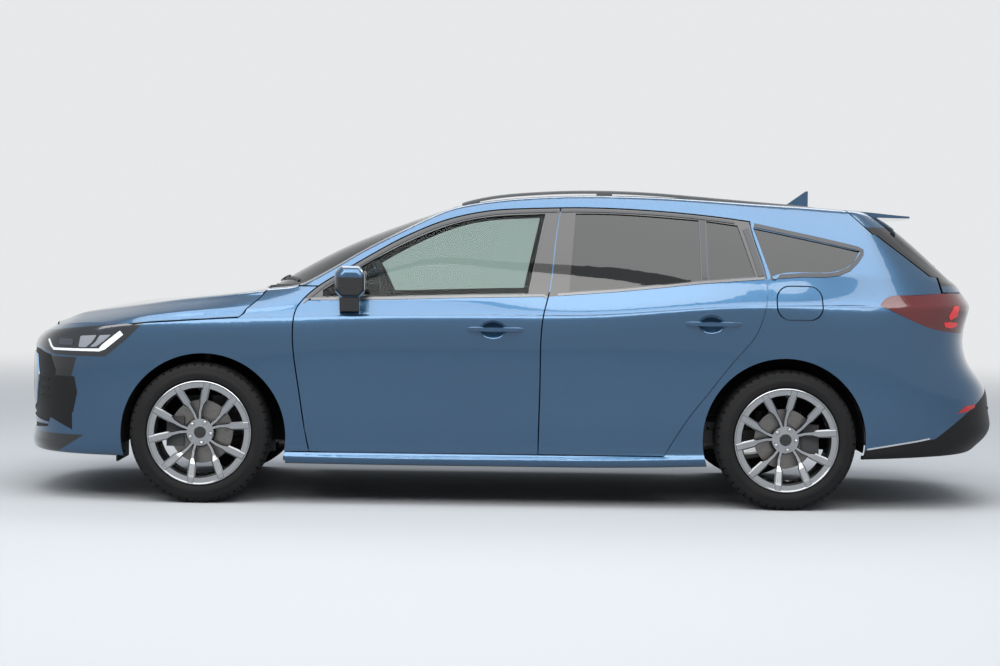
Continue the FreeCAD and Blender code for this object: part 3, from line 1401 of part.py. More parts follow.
cushion_thick = 136.0
back_inset = 8.5
back_overlap = 115.6
rest_in = 24.0
rest_bury = 51.0
rest_soft = 30.0
head_half = 125.0
head_high = 150.0
front_seat_x = car_x(0.405)
front_seat_z = 500.0
front_seat_deep = 500.0
rear_seat_x = car_x(0.742)
rear_seat_z = 538.9
rear_seat_deep = 470.0
rear_seat_half = 590.0
seat_back_high = 590.0
rear_back_high = 520.0
front_lean = 20.0
rear_lean = 22.0
seat_base_low = 246.0
base_in = 68.0
base_long = 400.0
base_half_width = 191.0


def front_seat():
    """The left front seat on its base."""
    body = seat(-seat_y - seat_half_width, -seat_y + seat_half_width, front_seat_x, front_seat_z, front_seat_deep,
                seat_back_high, front_lean, [-seat_y])
    base = block((front_seat_x + base_in, -seat_y - base_half_width, seat_base_low),
                 (front_seat_x + base_long, -seat_y + base_half_width, front_seat_z - cushion_thick / 2))
    return one_solid(body.fuse(base))


def rear_seat():
    """The rear bench."""
    body = seat(-rear_seat_half, rear_seat_half, rear_seat_x, rear_seat_z, rear_seat_deep, rear_back_high,
                rear_lean, [-seat_y, 0, seat_y])
    return body


# Floor, liners and running gear
floor_shares = (
    (0.118, 0.625), (0.118, 0.351), (0.145, 0.264), (0.207, 0.177), (0.237, 0.166), (0.763, 0.166),
    (0.789, 0.203), (0.804, 0.272), (0.919, 0.272), (0.948, 0.378), (1.000, 0.386), (1.319, 0.386),
    (1.330, 0.378), (1.330, 0.351),
)
floor_thick = 18.0
floor_half_width = 773.0
liner_thick = 6.0
liner_gap = 4.0
front_liner_in = 476.0
front_liner_out = 828.0
rear_liner_in = 618.0
rear_liner_out = 766.0
liner_low = 262.0
front_plate_low = 470.0
rear_plate_low = 440.0
arch_floor_trim_x = car_x(0.1415)


def liner(x, z, radius, y_in, y_out, plate_low, way):
    """A left wheelhouse: an arched sheet and the plate that closes it inboard."""
    outer = radius + liner_gap + liner_thick
    arch = tube_y(x, z, outer, -y_out, -y_in + liner_thick).cut(tube_y(x, z, radius + liner_gap, -y_out, -y_in))
    arch = arch.cut(block((x - outer * 2, -y_out * 2, -outer), (x + outer * 2, 0, liner_low)))
    hole = block((x - way, -y_out * 2, -outer), (x + axle_way, 0, plate_low))
    return one_solid(arch.cut(hole))


axle_way = 150.0
trailing_way = 450.0


def floor_pan(side, hood):
    """The floor from the firewall to the load floor, with the four wheelhouses; it meets both sills."""
    sheet = strip(side_points(floor_shares), floor_thick, -floor_half_width, floor_half_width)
    liners = []
    front = liner(front_arch_x, front_arch_z, front_arch_radius, front_liner_in, front_liner_out, front_plate_low,
                  axle_way)
    trim = block((arch_floor_trim_x, -far_out, 0), (rear_axle_x, -front_sill_in, body_height))
    front = one_solid(front.cut(trim))
    rear = liner(rear_arch_x, rear_arch_z, rear_arch_radius, rear_liner_in, rear_liner_out, rear_plate_low,
                 trailing_way)
    for piece in (front, rear):
        liners.append(piece)
        liners.append(mirror(piece))
    tools = []
    for x, z, radius, y_in in ((front_arch_x, front_arch_z, front_arch_radius, front_liner_in),
                               (rear_arch_x, rear_arch_z, rear_arch_radius, rear_liner_in)):
        for hand in (-1, 1):
            ys = sorted((hand * y_in, hand * far_out))
            tools.append(tube_y(x, z, radius + liner_gap, ys[0], ys[1]))
    for tool in tools:
        sheet = sheet.cut(tool)
    tail = block((tail_floor_x, -far_out, 0), (far_out * 2, -tail_floor_half, body_height))
    sheet = sheet.cut(tail).cut(mirror(tail))
    for x in sill_tab_x:
        tab = block((x, -half_width, sill_tab_z[0]),
                    (x + sill_tab_long, -floor_half_width + sill_tab_long, sill_tab_z[1]))
        tab = max(tab.cut(side).Solids, key=lambda solid: solid.BoundBox.YMax)
        liners.extend([tab, mirror(tab)])
    post = block((front_arch_x - stop_long, -bonnet_stop_y - stop_long, post_foot),
                 (front_arch_x + stop_long, -bonnet_stop_y + stop_long, body_height))
    post = min(post.cut(hood).Solids, key=lambda solid: solid.BoundBox.ZMin)
    liners.extend([post, mirror(post)])
    return one_solid(fused([sheet] + liners))


front_sill_in = 770.0
sill_tab_x = (car_x(0.26), car_x(0.70))
sill_tab_long = 60.0
sill_tab_z = (228.0, 244.0)
bonnet_stop_y = 600.0
post_foot = 694.0
tail_floor_x = car_x(1.14)
tail_floor_half = 672.0

kingpin_y = 719.0
upright_half = 34.0
upright_low = 106.0
upright_top = 96.0
upright_in = 58.0
upright_out = 22.0
bearing_radius = 42.0
bearing_gap = 0.3
caliper_gap = 5.5
caliper_x = (78.0, 158.0)
caliper_half_high = 68.0
caliper_out = 22.0
caliper_in = 26.0
bracket_in = 46.0
bracket_half_high = 30.0
bracket_short = 8.0
damper_radius = 25.0
damper_foot = (640.0, 400.0)
damper_top = (583.0, 672.0)
ear_half = 27.0
ear_out = 10.0
ear_z = (60.0, 130.0)


def knuckle(centre_y, x, way):
    """A left hub carrier, inboard of its wheel; its brake caliper is behind the axle where way is 1, else ahead."""
    disc_in = centre_y + disc_inner - bearing_gap
    bearing = tube_y(x, axle_height, bearing_radius, -disc_in, -disc_in + upright_in)
    upright = block((x - upright_half, -disc_in + upright_out, axle_height - upright_low),
                    (x + upright_half, -disc_in + upright_in, axle_height + upright_top))
    near, far = sorted((caliper_x[0] * way, caliper_x[1] * way))
    body = block((x + near, -(centre_y + disc_outer + caliper_out), axle_height - caliper_half_high),
                 (x + far, -disc_in + caliper_in, axle_height + caliper_half_high))
    slot = tube_y(x, axle_height, front_disc_radius + caliper_gap, -(centre_y + disc_outer + caliper_gap),
                  -(disc_in + bearing_gap - caliper_gap))
    near, far = sorted((0, (caliper_x[1] - bracket_short) * way))
    bracket = block((x + near, -disc_in + caliper_in, axle_height - bracket_half_high),
                    (x + far, -disc_in + bracket_in, axle_height + bracket_half_high))
    return [bearing, upright, body.cut(slot), bracket]


def front_knuckle():
    """The left front knuckle with the damper tube that turns with it."""
    parts = knuckle(front_track / 2, front_axle_x, -1)
    foot = vec(front_axle_x, -damper_foot[0], damper_foot[1])
    top = vec(front_axle_x, -damper_top[0], damper_top[1])
    run = top - foot
    parts.append(Part.makeCylinder(damper_radius, run.Length, foot, run))
    ear = block((front_axle_x - ear_half, -(kingpin_y + ear_out), axle_height + ear_z[0]),
                (front_axle_x + ear_half, -(damper_foot[0] - ear_out), axle_height + ear_z[1]))
    parts.append(ear)
    return one_solid(fused(parts))


beam_x = car_x(0.925)
arm_y = (598.0, 650.0)
arm_z = (286.0, 352.0)
arm_x = car_x(0.812)
spring_x = car_x(0.968)
shock_x = car_x(1.032)


def rear_axle():
    """The rear axle: a cross beam, two trailing arms with hub carriers and calipers, springs and dampers."""
    pieces = [block((beam_x - beam_half, -arm_y[0], arm_z[0]), (beam_x + beam_half, arm_y[0], arm_z[1]))]
    half = knuckle(rear_track / 2, rear_axle_x, 1)
    half.append(block((arm_x, -arm_y[1], arm_z[0]), (rear_axle_x + upright_half, -arm_y[0], arm_z[1])))
    hub_y = rear_track / 2 + disc_inner - bearing_gap - hub_arm_in
    half.append(block((rear_axle_x - upright_half, -hub_y, arm_z[0]),
                      (rear_axle_x + upright_half, -arm_y[0], arm_z[1])))
    half.append(Part.makeCylinder(spring_radius, spring_high, vec(spring_x, -spring_y, arm_z[1] - spring_bury)))
    half.append(Part.makeCylinder(shock_radius, shock_high, vec(shock_x, -shock_y, arm_z[0])))
    half.append(block((spring_x - spring_radius, -arm_y[0] - shelf_lap, arm_z[0] + shelf_lap),
                      (shock_x + shock_radius, -shelf_y, arm_z[1] - shelf_lap)))
    for piece in half:
        pieces.append(piece)
        pieces.append(mirror(piece))
    return one_solid(fused(pieces))


beam_half = 42.0
hub_arm_in = 40.0
spring_bury = 12.0
shock_y = 548.0
shelf_y = 510.0
shelf_lap = 8.0
spring_radius = 46.0
spring_y = 540.0
spring_high = 196.0
shock_radius = 23.0
shock_high = 267.0
subframe_x = (car_x(0.0), car_x(0.096))
subframe_half = 400.0
subframe_z = (196.0, 262.0)
lower_arm_points = ((-10.0, 380.0), (-38.0, 604.0), (-24.0, 750.0), (-10.0, 764.0), (10.0, 764.0), (24.0, 750.0),
                    (56.0, 604.0), (190.0, 440.0), (259.0, 380.0))
lower_arm_z = (196.0, 212.0)
ball_y = 747.0
ball_radius = 5.0
mount_x = (car_x(0.0905), car_x(0.11120))
mount_y = (350.0, 400.0)
mount_z = (200.0, 600.0)
shaft_radius = 15.0
shaft_from = 395.0
shaft_to = 640.0


def front_subframe():
    """The front cross member with its lower arms, drive shafts and strut towers."""
    x0, x1 = subframe_x
    pieces = [block((x0, -subframe_half, subframe_z[0]), (x1, subframe_half, subframe_z[1]))]
    outline = [vec(front_axle_x + x, -y, lower_arm_z[0]) for x, y in lower_arm_points]
    arm = Part.Face(Part.makePolygon(outline + [outline[0]])).extrude(vec(0, 0, lower_arm_z[1] - lower_arm_z[0]))
    shaft = tube_y(front_axle_x, axle_height, shaft_radius, -shaft_to, -shaft_from)
    boot = tube_y(front_axle_x, axle_height, boot_radius, -shaft_from - boot_long, -shaft_from)
    rest = block((front_axle_x - rest_half, -subframe_half, subframe_z[1] - rest_lap),
                 (front_axle_x + rest_half, -shaft_from + rest_wide, axle_height + rest_top))
    ball = Part.makeCylinder(ball_radius, axle_height - upright_low - seat_gap * 3 - lower_arm_z[0],
                             vec(front_axle_x, -ball_y, lower_arm_z[0]))
    leg = block((mount_x[0], -mount_y[1], mount_z[0]), (mount_x[1], -mount_y[0], mount_z[1]))
    for piece in (arm, shaft, boot, rest, ball, leg):
        pieces.append(piece)
        pieces.append(mirror(piece))
    return one_solid(fused(pieces))


boot_radius = 39.0
boot_long = 60.0
rest_half = 50.0
rest_lap = 6.0
rest_wide = 40.0
rest_top = 44.0
engine_low = (car_x(-0.150), -345.0, 262.3)
engine_high = (car_x(0.094), 345.0, 812.0)
pipe_radius = 27.0
pipe_beam_gap = cut_over * 2
pipe_rise = 10.0
pipe_bury = 20.0
pipe_above = 50.0
silencer_soft = 50.0
pipe_z = 199.7
pipe_y = 120.0
pipe_from = car_x(0.10)
silencer_low = (car_x(1.150), -420.0, 262.0)
silencer_high = (car_x(1.262), 160.0, 420.0)


def exhaust():
    """The exhaust pipe under the floor and the silencer behind the rear axle."""
    bend_x = car_x(0.80)
    points = [vec(pipe_from, pipe_y, pipe_z), vec(bend_x, pipe_y, pipe_z),
              vec(beam_x - pipe_beam_gap, pipe_y, pipe_z + pipe_rise),
              vec(silencer_low[0] + pipe_bury, pipe_y, silencer_low[2] + pipe_above)]
    pieces = []
    for a, b in zip(points, points[1:]):
        run = b - a
        pieces.append(Part.makeCylinder(pipe_radius, run.Length, a, run))
        pieces.append(Part.makeSphere(pipe_radius, b))
    pieces.append(soft_block(silencer_low, silencer_high, silencer_soft))
    return one_solid(fused(pieces))


def main():
    """Build every piece and write one file for each node."""
    os.makedirs("parts", exist_ok=True)
    side = body_side()
    write("body_side_left", [with_flap_pocket(side)])
    write("body_side_right", [mirror(side)])
    roof = roof_panel()
    write("roof_panel", [roof])
    write("floor_pan", [floor_pan(side, bonnet_wall(-cut_over, bonnet_thick + seat_gap))])
    write("windscreen", [windscreen()])
    write("cowl_panel", [cowl()])
    write("front_bumper", [front_bumper()])
    write("front_grille", [front_grilles()])
    write("rear_bumper", [rear_bumper()])
    write("bonnet", [bonnet()])
    write("tailgate", [tailgate()])
    write("tailgate_glass", [tailgate_glass()])
    write("fuel_flap", [fuel_flap()])
    pairs = {"front_fenders": fender(), "headlamps": headlamp(), "tail_lamps": tail_lamp(),
             "quarter_windows": quarter_window(), "roof_rails": roof_rail(roof), "front_seats": front_seat()}
    for name, piece in pairs.items():
        write(name, [piece, mirror(piece)])
    front = furnished_door(front_door_chains, [front_glass_chains], front_handle_x, front_handle_z, front_cup)
    rear = furnished_door(rear_door_chains, [rear_glass_chains, rear_pane_chains], rear_handle_x, rear_handle_z,
                          rear_cup)
    mirror_piece = door_mirror(front)
    front_glass = one_solid(pane(front_glass_chains, glass_layer))
    rear_panes = [one_solid(pane(chains, glass_layer)) for chains in (rear_glass_chains, rear_pane_chains)]
    for hand, turned in (("l", lambda shape: shape), ("r", mirror)):
        write("door_f" + hand, [turned(front)])
        write("door_r" + hand, [turned(rear)])
        write("glass_f" + hand, [turned(front_glass)])
        write("glass_r" + hand, [turned(piece) for piece in rear_panes])
        write("mirror_" + hand, [turned(mirror_piece)])
        write("knuckle_f" + hand, [turned(front_knuckle())])
    for end, x, track, disc, nut_angle in (("f", front_axle_x, front_track, front_disc_radius, front_nut_angle),
                                           ("r", rear_axle_x, rear_track, rear_disc_radius, rear_nut_angle)):
        solids = wheel_set("tyre_" + end, "wheel_" + end, x, track, disc, nut_angle)
        for name, solid in solids.items():
            write(name, [solid])
    write("rear_seat", [rear_seat()])
    write("dashboard", [dashboard(side)])
    write("steering_wheel", [steering_wheel()])
    write("engine_block", [block(engine_low, engine_high)])
    write("front_subframe", [front_subframe()])
    write("rear_axle", [rear_axle()])
    write("exhaust", [exhaust()])


main()
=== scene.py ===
"""The look of a blue five-door station wagon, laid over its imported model.

Each sub-assembly is a class: its sizes are dataclass fields, and its methods build
meshes with bmesh operators and dress them in procedural finishes. Lengths are metres.
The car faces -X, its left side is at -Y, and it stands on the ground at Z = 0.
"""
import logging
import math
from dataclasses import dataclass, field, replace
from enum import Enum
from typing import Callable, Iterable, Optional, Sequence, Union

import bmesh
import bpy
from mathutils import Matrix, Vector
from mathutils.bvhtree import BVHTree


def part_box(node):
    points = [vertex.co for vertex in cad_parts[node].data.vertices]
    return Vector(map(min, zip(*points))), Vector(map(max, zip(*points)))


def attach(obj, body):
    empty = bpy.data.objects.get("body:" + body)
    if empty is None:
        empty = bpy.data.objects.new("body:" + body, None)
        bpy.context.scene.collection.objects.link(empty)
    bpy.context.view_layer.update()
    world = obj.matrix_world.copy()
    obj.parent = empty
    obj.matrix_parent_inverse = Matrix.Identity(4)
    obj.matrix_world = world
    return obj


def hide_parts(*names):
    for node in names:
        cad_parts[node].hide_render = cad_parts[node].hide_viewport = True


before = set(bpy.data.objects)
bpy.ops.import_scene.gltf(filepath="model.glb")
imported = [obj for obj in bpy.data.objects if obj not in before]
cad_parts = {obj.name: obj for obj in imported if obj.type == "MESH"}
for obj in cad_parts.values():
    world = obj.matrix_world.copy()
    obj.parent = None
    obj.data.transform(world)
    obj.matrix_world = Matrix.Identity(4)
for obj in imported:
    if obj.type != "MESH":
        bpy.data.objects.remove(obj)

log = logging.getLogger("station_wagon")

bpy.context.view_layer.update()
FRONT_AXLE_X = -1.434
MERGE = 2e-5
SOFT_ANGLE = 80.0
RAY_START = 3.0
CORNER_SEGMENTS = 4
COLOUR_ALPHA = 1.0
BACKDROP = (0.80, 0.81, 0.82)
SHOWN_TO = ("Is Camera Ray", "Is Glossy Ray", "Is Transmission Ray")

REARWARD = Vector((1.0, 0.0, 0.0))
RIGHTWARD = Vector((0.0, 1.0, 0.0))
UP = Vector((0.0, 0.0, 1.0))

Colour = tuple[float, float, float]
Number = Union[int, float]
Point2 = tuple[float, float]
Range = tuple[float, float]


def car(x: float, z: float) -> Point2:
    """A place seen from the side.

    Args:
        x: Metres behind the front axle.
        z: Metres above the ground.

    Returns:
        The same place as (x, z) in the frame.
    """
    return (x + FRONT_AXLE_X, z)


class Side(Enum):
    """The two sides of the car."""

    LEFT = -1
    RIGHT = 1

    @property
    def letter(self) -> str:
        """The letter that ends this side's node names."""
        return "l" if self is Side.LEFT else "r"

    @property
    def word(self) -> str:
        """The word in this side's body names."""
        return "left" if self is Side.LEFT else "right"

    @property
    def outward(self) -> Vector:
        """The direction out of this side of the car."""
        return RIGHTWARD * self.value


class Slot(Enum):
    """The record's material slots, which each kind of laid piece keeps as a field."""

    PAINT = "body_paint"
    GLOSS_BLACK = "gloss_black"
    GLASS = "tinted_glass"
    CLEAR_LAMP = "lamp_clear"
    RED_LAMP = "lamp_red"
    RAIL = "rail_black"
    PLASTIC = "black_plastic"
    CLOTH = "seat_cloth"
    STEEL = "exhaust_steel"
    RUBBER = "tyre_rubber"


class Wire:
    """A shader socket on which Python's operators add Math nodes."""

    def __init__(self, shader: "Shader", socket: bpy.types.NodeSocket) -> None:
        """Keeps the socket and the shader it belongs to."""
        self.shader = shader
        self.socket = socket

    def _math(self, operation: str, *values: "Term") -> "Wire":
        """A Math node on these values, in order."""
        sockets = {index: value for index, value in enumerate(values)}
        return self.shader.add("ShaderNodeMath", {"operation": operation}, sockets)

    def __add__(self, other: "Term") -> "Wire":
        """Sum."""
        return self._math("ADD", self, other)

    __radd__ = __add__

    def __mul__(self, other: "Term") -> "Wire":
        """Product."""
        return self._math("MULTIPLY", self, other)

    __rmul__ = __mul__

    def __sub__(self, other: "Term") -> "Wire":
        """Difference."""
        return self._math("SUBTRACT", self, other)

    def __rsub__(self, other: "Term") -> "Wire":
        """Difference from a number."""
        return self._math("SUBTRACT", other, self)

    def __pow__(self, other: "Term") -> "Wire":
        """Power."""
        return self._math("POWER", self, other)

    def __gt__(self, other: "Term") -> "Wire":
        """1 where this is greater."""
        return self._math("GREATER_THAN", self, other)

    def __lt__(self, other: "Term") -> "Wire":
        """1 where this is less."""
        return self._math("LESS_THAN", self, other)

    def absolute(self) -> "Wire":
        """Size without its sign."""
        return self._math("ABSOLUTE", self)

    def sine(self) -> "Wire":
        """Sine."""
        return self._math("SINE", self)

    def at_most(self, other: "Term") -> "Wire":
        """The smaller of the two."""
        return self._math("MINIMUM", self, other)

    def at_least(self, other: "Term") -> "Wire":
        """The larger of the two."""
        return self._math("MAXIMUM", self, other)

    def ramp(self, low: float, high: float) -> "Wire":
        """Smooth step from 0 at low to 1 at high.

        Args:
            low: Where it is 0.
            high: Where it is 1.

        Returns:
            The step.
        """
        settings = {"interpolation_type": "SMOOTHSTEP"}
        sockets = {"Value": self, "From Min": low, "From Max": high}
        return self.shader.add("ShaderNodeMapRange", settings, sockets, "Result")


Term = Union[Wire, Number]
Zone = Callable[["Shader", Wire], Wire]


class Shader:
    """A node tree that is built by method calls."""

    def __init__(self, owner: Union[bpy.types.Material, bpy.types.World]) -> None:
        """Empties the node tree of a material or world.

        Args:
            owner: What holds the tree.
        """
        owner.use_nodes = True
        self.owner = owner
        self.tree = owner.node_tree
        self.tree.nodes.clear()

    def add(self, kind: str, settings: Optional[dict] = None, sockets: Optional[dict] = None,
            output: Union[str, int] = 0) -> Wire:
        """Adds one node.

        Args:
            kind: The node's type.
            settings: Its settings, which are set first.
            sockets: Values or wires by input name or index.
            output: The output to return.

        Returns:
            The chosen output.
        """
        node = self.tree.nodes.new(kind)
        for key, value in (settings or {}).items():
            setattr(node, key, value)
        for key, value in (sockets or {}).items():
            if isinstance(value, Wire):
                self.tree.links.new(value.socket, node.inputs[key])
            else:
                node.inputs[key].default_value = value
        return Wire(self, node.outputs[output])

    def place(self) -> Wire:
        """Object coordinates."""
        return self.add("ShaderNodeTexCoord", output="Object")

    def facing(self) -> Wire:
        """The surface normal in the piece's own space."""
        return self.add("ShaderNodeTexCoord", output="Normal")

    def split(self, vector: Wire) -> tuple[Wire, Wire, Wire]:
        """The three parts of a vector.

        Args:
            vector: The vector.

        Returns:
            Its X, Y and Z.
        """
        first = self.add("ShaderNodeSeparateXYZ", sockets={"Vector": vector})
        node = first.socket.node
        return tuple(Wire(self, node.outputs[index]) for index in range(3))

    def noise(self, vector: Wire, scale: float, detail: float = 2.0, rough: float = 0.5) -> Wire:
        """Noise between 0 and 1."""
        sockets = {"Vector": vector, "Scale": scale, "Detail": detail, "Roughness": rough}
        return self.add("ShaderNodeTexNoise", {"noise_dimensions": "3D"}, sockets)

    def cells(self, vector: Wire, scale: float) -> Wire:
        """The distance to the middle of the nearest cell of a Voronoi pattern."""
        return self.add("ShaderNodeTexVoronoi", sockets={"Vector": vector, "Scale": scale}, output="Distance")

    def shown(self) -> Wire:
        """1 to the rays that see the pale background.

        Returns:
            1 or 0.
        """
        flag = self.add("ShaderNodeLightPath", output=SHOWN_TO[0])
        for ray in SHOWN_TO[1:]:
            flag = flag.at_least(self.add("ShaderNodeLightPath", output=ray))
        return flag

    def blend(self, share: Term, first: Union[Wire, Colour], second: Union[Wire, Colour]) -> Wire:
        """A colour between two colours.

        Args:
            share: 0 gives the first and 1 the second.
            first: A colour.
            second: A colour.

        Returns:
            The mixed colour.
        """
        node = self.tree.nodes.new("ShaderNodeMix")
        node.data_type = "RGBA"
        named = {"Factor": share, "A": first, "B": second}
        for name, value in named.items():
            kind = "VALUE" if name == "Factor" else "RGBA"
            socket = next(one for one in node.inputs if one.name == name and one.type == kind)
            if isinstance(value, Wire):
                self.tree.links.new(value.socket, socket)
            elif name == "Factor":
                socket.default_value = value
            else:
                socket.default_value = (*value, COLOUR_ALPHA)
        return Wire(self, next(one for one in node.outputs if one.type == "RGBA"))

    def bump(self, height: Wire, depth: float, strength: float) -> Wire:
        """A normal with that relief, its depth in metres."""
        sockets = {"Height": height, "Distance": depth, "Strength": strength}
        return self.add("ShaderNodeBump", sockets=sockets)

    def principled(self, **sockets: Union[Wire, Number, Colour]) -> Wire:
        """A Principled shader; a name's underscores stand for spaces.

        Args:
            sockets: Values or wires by input name.

        Returns:
            The shader.
        """
        values = {}
        for name, value in sockets.items():
            if isinstance(value, tuple) and len(value) == 3:
                value = (*value, COLOUR_ALPHA)
            values[name.replace("_", " ")] = value
        return self.add("ShaderNodeBsdfPrincipled", sockets=values)

    def between(self, share: Term, first: Wire, second: Wire) -> Wire:
        """A shader between two shaders."""
        return self.add("ShaderNodeMixShader", sockets={0: share, 1: first, 2: second})

    def finish(self, surface: Wire, output: str = "ShaderNodeOutputMaterial"
               ) -> Union[bpy.types.Material, bpy.types.World]:
        """Links the surface to the output and returns what it belongs to.

        Args:
            surface: The shader's last node.
            output: The output node's type.

        Returns:
            The material or world.
        """
        out = self.tree.nodes.new(output)
        self.tree.links.new(surface.socket, out.inputs["Surface"])
        return self.owner


def new_shader(name: str) -> Shader:
    """The shader of a new material."""
    return Shader(bpy.data.materials.new(name))


@dataclass(frozen=True)
class MetallicPaint:
    """Blue metallic lacquer outside and dark moulded trim on the cabin's side of a panel."""

    name: str
    deep: Colour = (0.017, 0.052, 0.108)
    light: Colour = (0.052, 0.136, 0.245)
    trim: Colour = (0.009, 0.009, 0.010)
    black: Colour = (0.003, 0.003, 0.004)
    inward: Vector = field(default_factory=Vector)
    inward_edge: Range = (0.20, 0.30)
    metal: float = 0.85
    flake_scale: float = 2600.0
    flake_edge: Range = (0.35, 0.70)
    flake_share: float = 0.75
    cloud_scale: float = 0.9
    rough: float = 0.26
    coat_rough: float = 0.02
    sheen_level: float = 0.22
    trim_rough: float = 0.24
    trim_grain: float = 420.0
    trim_relief: float = 0.0004
    relief_strength: float = 0.5
    gloss_zone: Optional[Zone] = None
    matt_zone: Optional[Zone] = None

    def make(self) -> bpy.types.Material:
        """The paint's material.

        Returns:
            The material.
        """
        shader = new_shader(self.name)
        place = shader.place()
        flakes = shader.noise(place, self.flake_scale, detail=1.0).ramp(*self.flake_edge)
        cloud = shader.noise(place, self.cloud_scale, detail=1.0)
        glitter = flakes * self.flake_share + cloud * (1.0 - self.flake_share)
        paint = shader.blend(glitter, self.deep, self.light)
        normal_lean = shader.add("ShaderNodeVectorMath", {"operation": "DOT_PRODUCT"},
                            {0: shader.facing(), 1: self.inward}, "Value")
        dark = normal_lean.ramp(*self.inward_edge)
        if self.matt_zone is not None:
            dark = dark.at_least(self.matt_zone(shader, place))
        gloss = self.gloss_zone(shader, place) if self.gloss_zone is not None else dark * 0.0
        colour = shader.blend(gloss, shader.blend(dark, paint, self.trim), self.black)
        grain = shader.noise(place, self.trim_grain, detail=3.0)
        return shader.finish(shader.principled(
            Base_Color=colour, Metallic=(1.0 - dark.at_least(gloss)) * self.metal,
            Roughness=self.rough + dark * self.trim_rough, Coat_Weight=1.0 - dark,
            Coat_Roughness=self.coat_rough, Specular_IOR_Level=self.sheen_level,
            Normal=shader.bump(grain * dark, self.trim_relief, self.relief_strength)))


@dataclass(frozen=True)
class Moulding:
    """Moulded plastic with a fine grain and faint rubbing, from matt to gloss."""

    name: str
    colour: Colour
    rough: float
    grain: float = 600.0
    relief: float = 0.00025
    coat: float = 0.0
    coat_rough: float = 0.03
    sheen_level: float = 0.22
    relief_strength: float = 0.6
    wear_scale: float = 7.0
    wear_edge: Range = (0.45, 0.75)
    wear_share: float = 0.6
    wear_rough: float = 0.12
    worn_gain: float = 1.5
    worn_lift: float = 0.003

    def make(self) -> bpy.types.Material:
        """The plastic's material.

        Returns:
            The material.
        """
        shader = new_shader(self.name)
        place = shader.place()
        wear = shader.noise(place, self.wear_scale, detail=4.0)
        grain = shader.cells(place, self.grain)
        worn = tuple(min(1.0, part * self.worn_gain + self.worn_lift) for part in self.colour)
        colour = shader.blend(wear.ramp(*self.wear_edge) * self.wear_share, self.colour, worn)
        return shader.finish(shader.principled(
            Base_Color=colour, Roughness=self.rough + (wear - 0.5) * self.wear_rough, Coat_Weight=self.coat,
            Coat_Roughness=self.coat_rough, Specular_IOR_Level=self.sheen_level,
            Normal=shader.bump(grain, self.relief, self.relief_strength)))


@dataclass(frozen=True)
class BareMetal:
    """Metal with turned, brushed or cast relief and some grime."""

    name: str
    colour: Colour
    rough: float
    grain: float = 90.0
    relief: float = 0.0004
    relief_strength: float = 0.5
    grain_rough: float = 0.12
    grime: float = 0.35
    grime_scale: float = 5.0
    grime_edge: Range = (0.45, 0.75)
    grime_rough: float = 0.4
    dirt: Colour = (0.045, 0.038, 0.032)
    metal: float = 1.0
    coat: float = 0.0
    coat_rough: float = 0.05

    def make(self) -> bpy.types.Material:
        """The metal's material.

        Returns:
            The material.
        """
        shader = new_shader(self.name)
        place = shader.place()
        grain = shader.noise(place, self.grain, detail=4.0)
        dirt = shader.noise(place, self.grime_scale, detail=5.0).ramp(*self.grime_edge) * self.grime
        return shader.finish(shader.principled(
            Base_Color=shader.blend(dirt, self.colour, self.dirt),
            Roughness=self.rough + grain * self.grain_rough + dirt * self.grime_rough,
            Metallic=(1.0 - dirt) * self.metal, Coat_Weight=self.coat, Coat_Roughness=self.coat_rough,
            Normal=shader.bump(grain, self.relief, self.relief_strength)))


@dataclass(frozen=True)
class Rubber:
    """Tyre rubber, a little dusty."""

    name: str = "tyre_rubber_finish"
    colour: Colour = (0.007, 0.007, 0.0075)
    dust: Colour = (0.018, 0.0175, 0.017)
    dust_scale: float = 11.0
    dust_edge: Range = (0.40, 0.80)
    dust_share: float = 0.5
    rough: float = 0.62
    dust_rough: float = 0.25
    sheen_level: float = 0.2
    grain: float = 700.0
    relief: float = 0.0003
    relief_strength: float = 0.5

    def make(self) -> bpy.types.Material:
        """The rubber's material.

        Returns:
            The material.
        """
        shader = new_shader(self.name)
        place = shader.place()
        dusty = shader.noise(place, self.dust_scale, detail=5.0).ramp(*self.dust_edge) * self.dust_share
        return shader.finish(shader.principled(
            Base_Color=shader.blend(dusty, self.colour, self.dust),
            Roughness=self.rough + dusty * self.dust_rough, Specular_IOR_Level=self.sheen_level,
            Normal=shader.bump(shader.noise(place, self.grain), self.relief, self.relief_strength)))


@dataclass(frozen=True)
class Glazing:
    """Car glass: clear or tinted in the mass, and glossy."""

    name: str
    tint: Colour
    density: float
    body: Colour = (0.005, 0.006, 0.007)
    refraction: float = 1.5
    rough: float = 0.01
    sheen_level: float = 0.8
    haze_scale: float = 3.0
    haze_cover: float = 0.03
    haze_rough: float = 0.02

    def make(self) -> bpy.types.Material:
        """The glass's material.

        Returns:
            The material.
        """
        shader = new_shader(self.name)
        haze = shader.noise(shader.place(), self.haze_scale, detail=3.0)
        gloss = shader.add("ShaderNodeFresnel", sockets={"IOR": self.refraction})
        cover = (self.density + gloss + (haze - 0.5) * self.haze_cover).at_most(1.0)
        clear = shader.add("ShaderNodeBsdfTransparent", sockets={"Color": (*self.tint, COLOUR_ALPHA)})
        solid = shader.principled(Base_Color=self.body, Roughness=haze * self.haze_rough + self.rough,
                                  IOR=self.refraction, Specular_IOR_Level=self.sheen_level)
        return shader.finish(shader.between(cover, clear, solid))


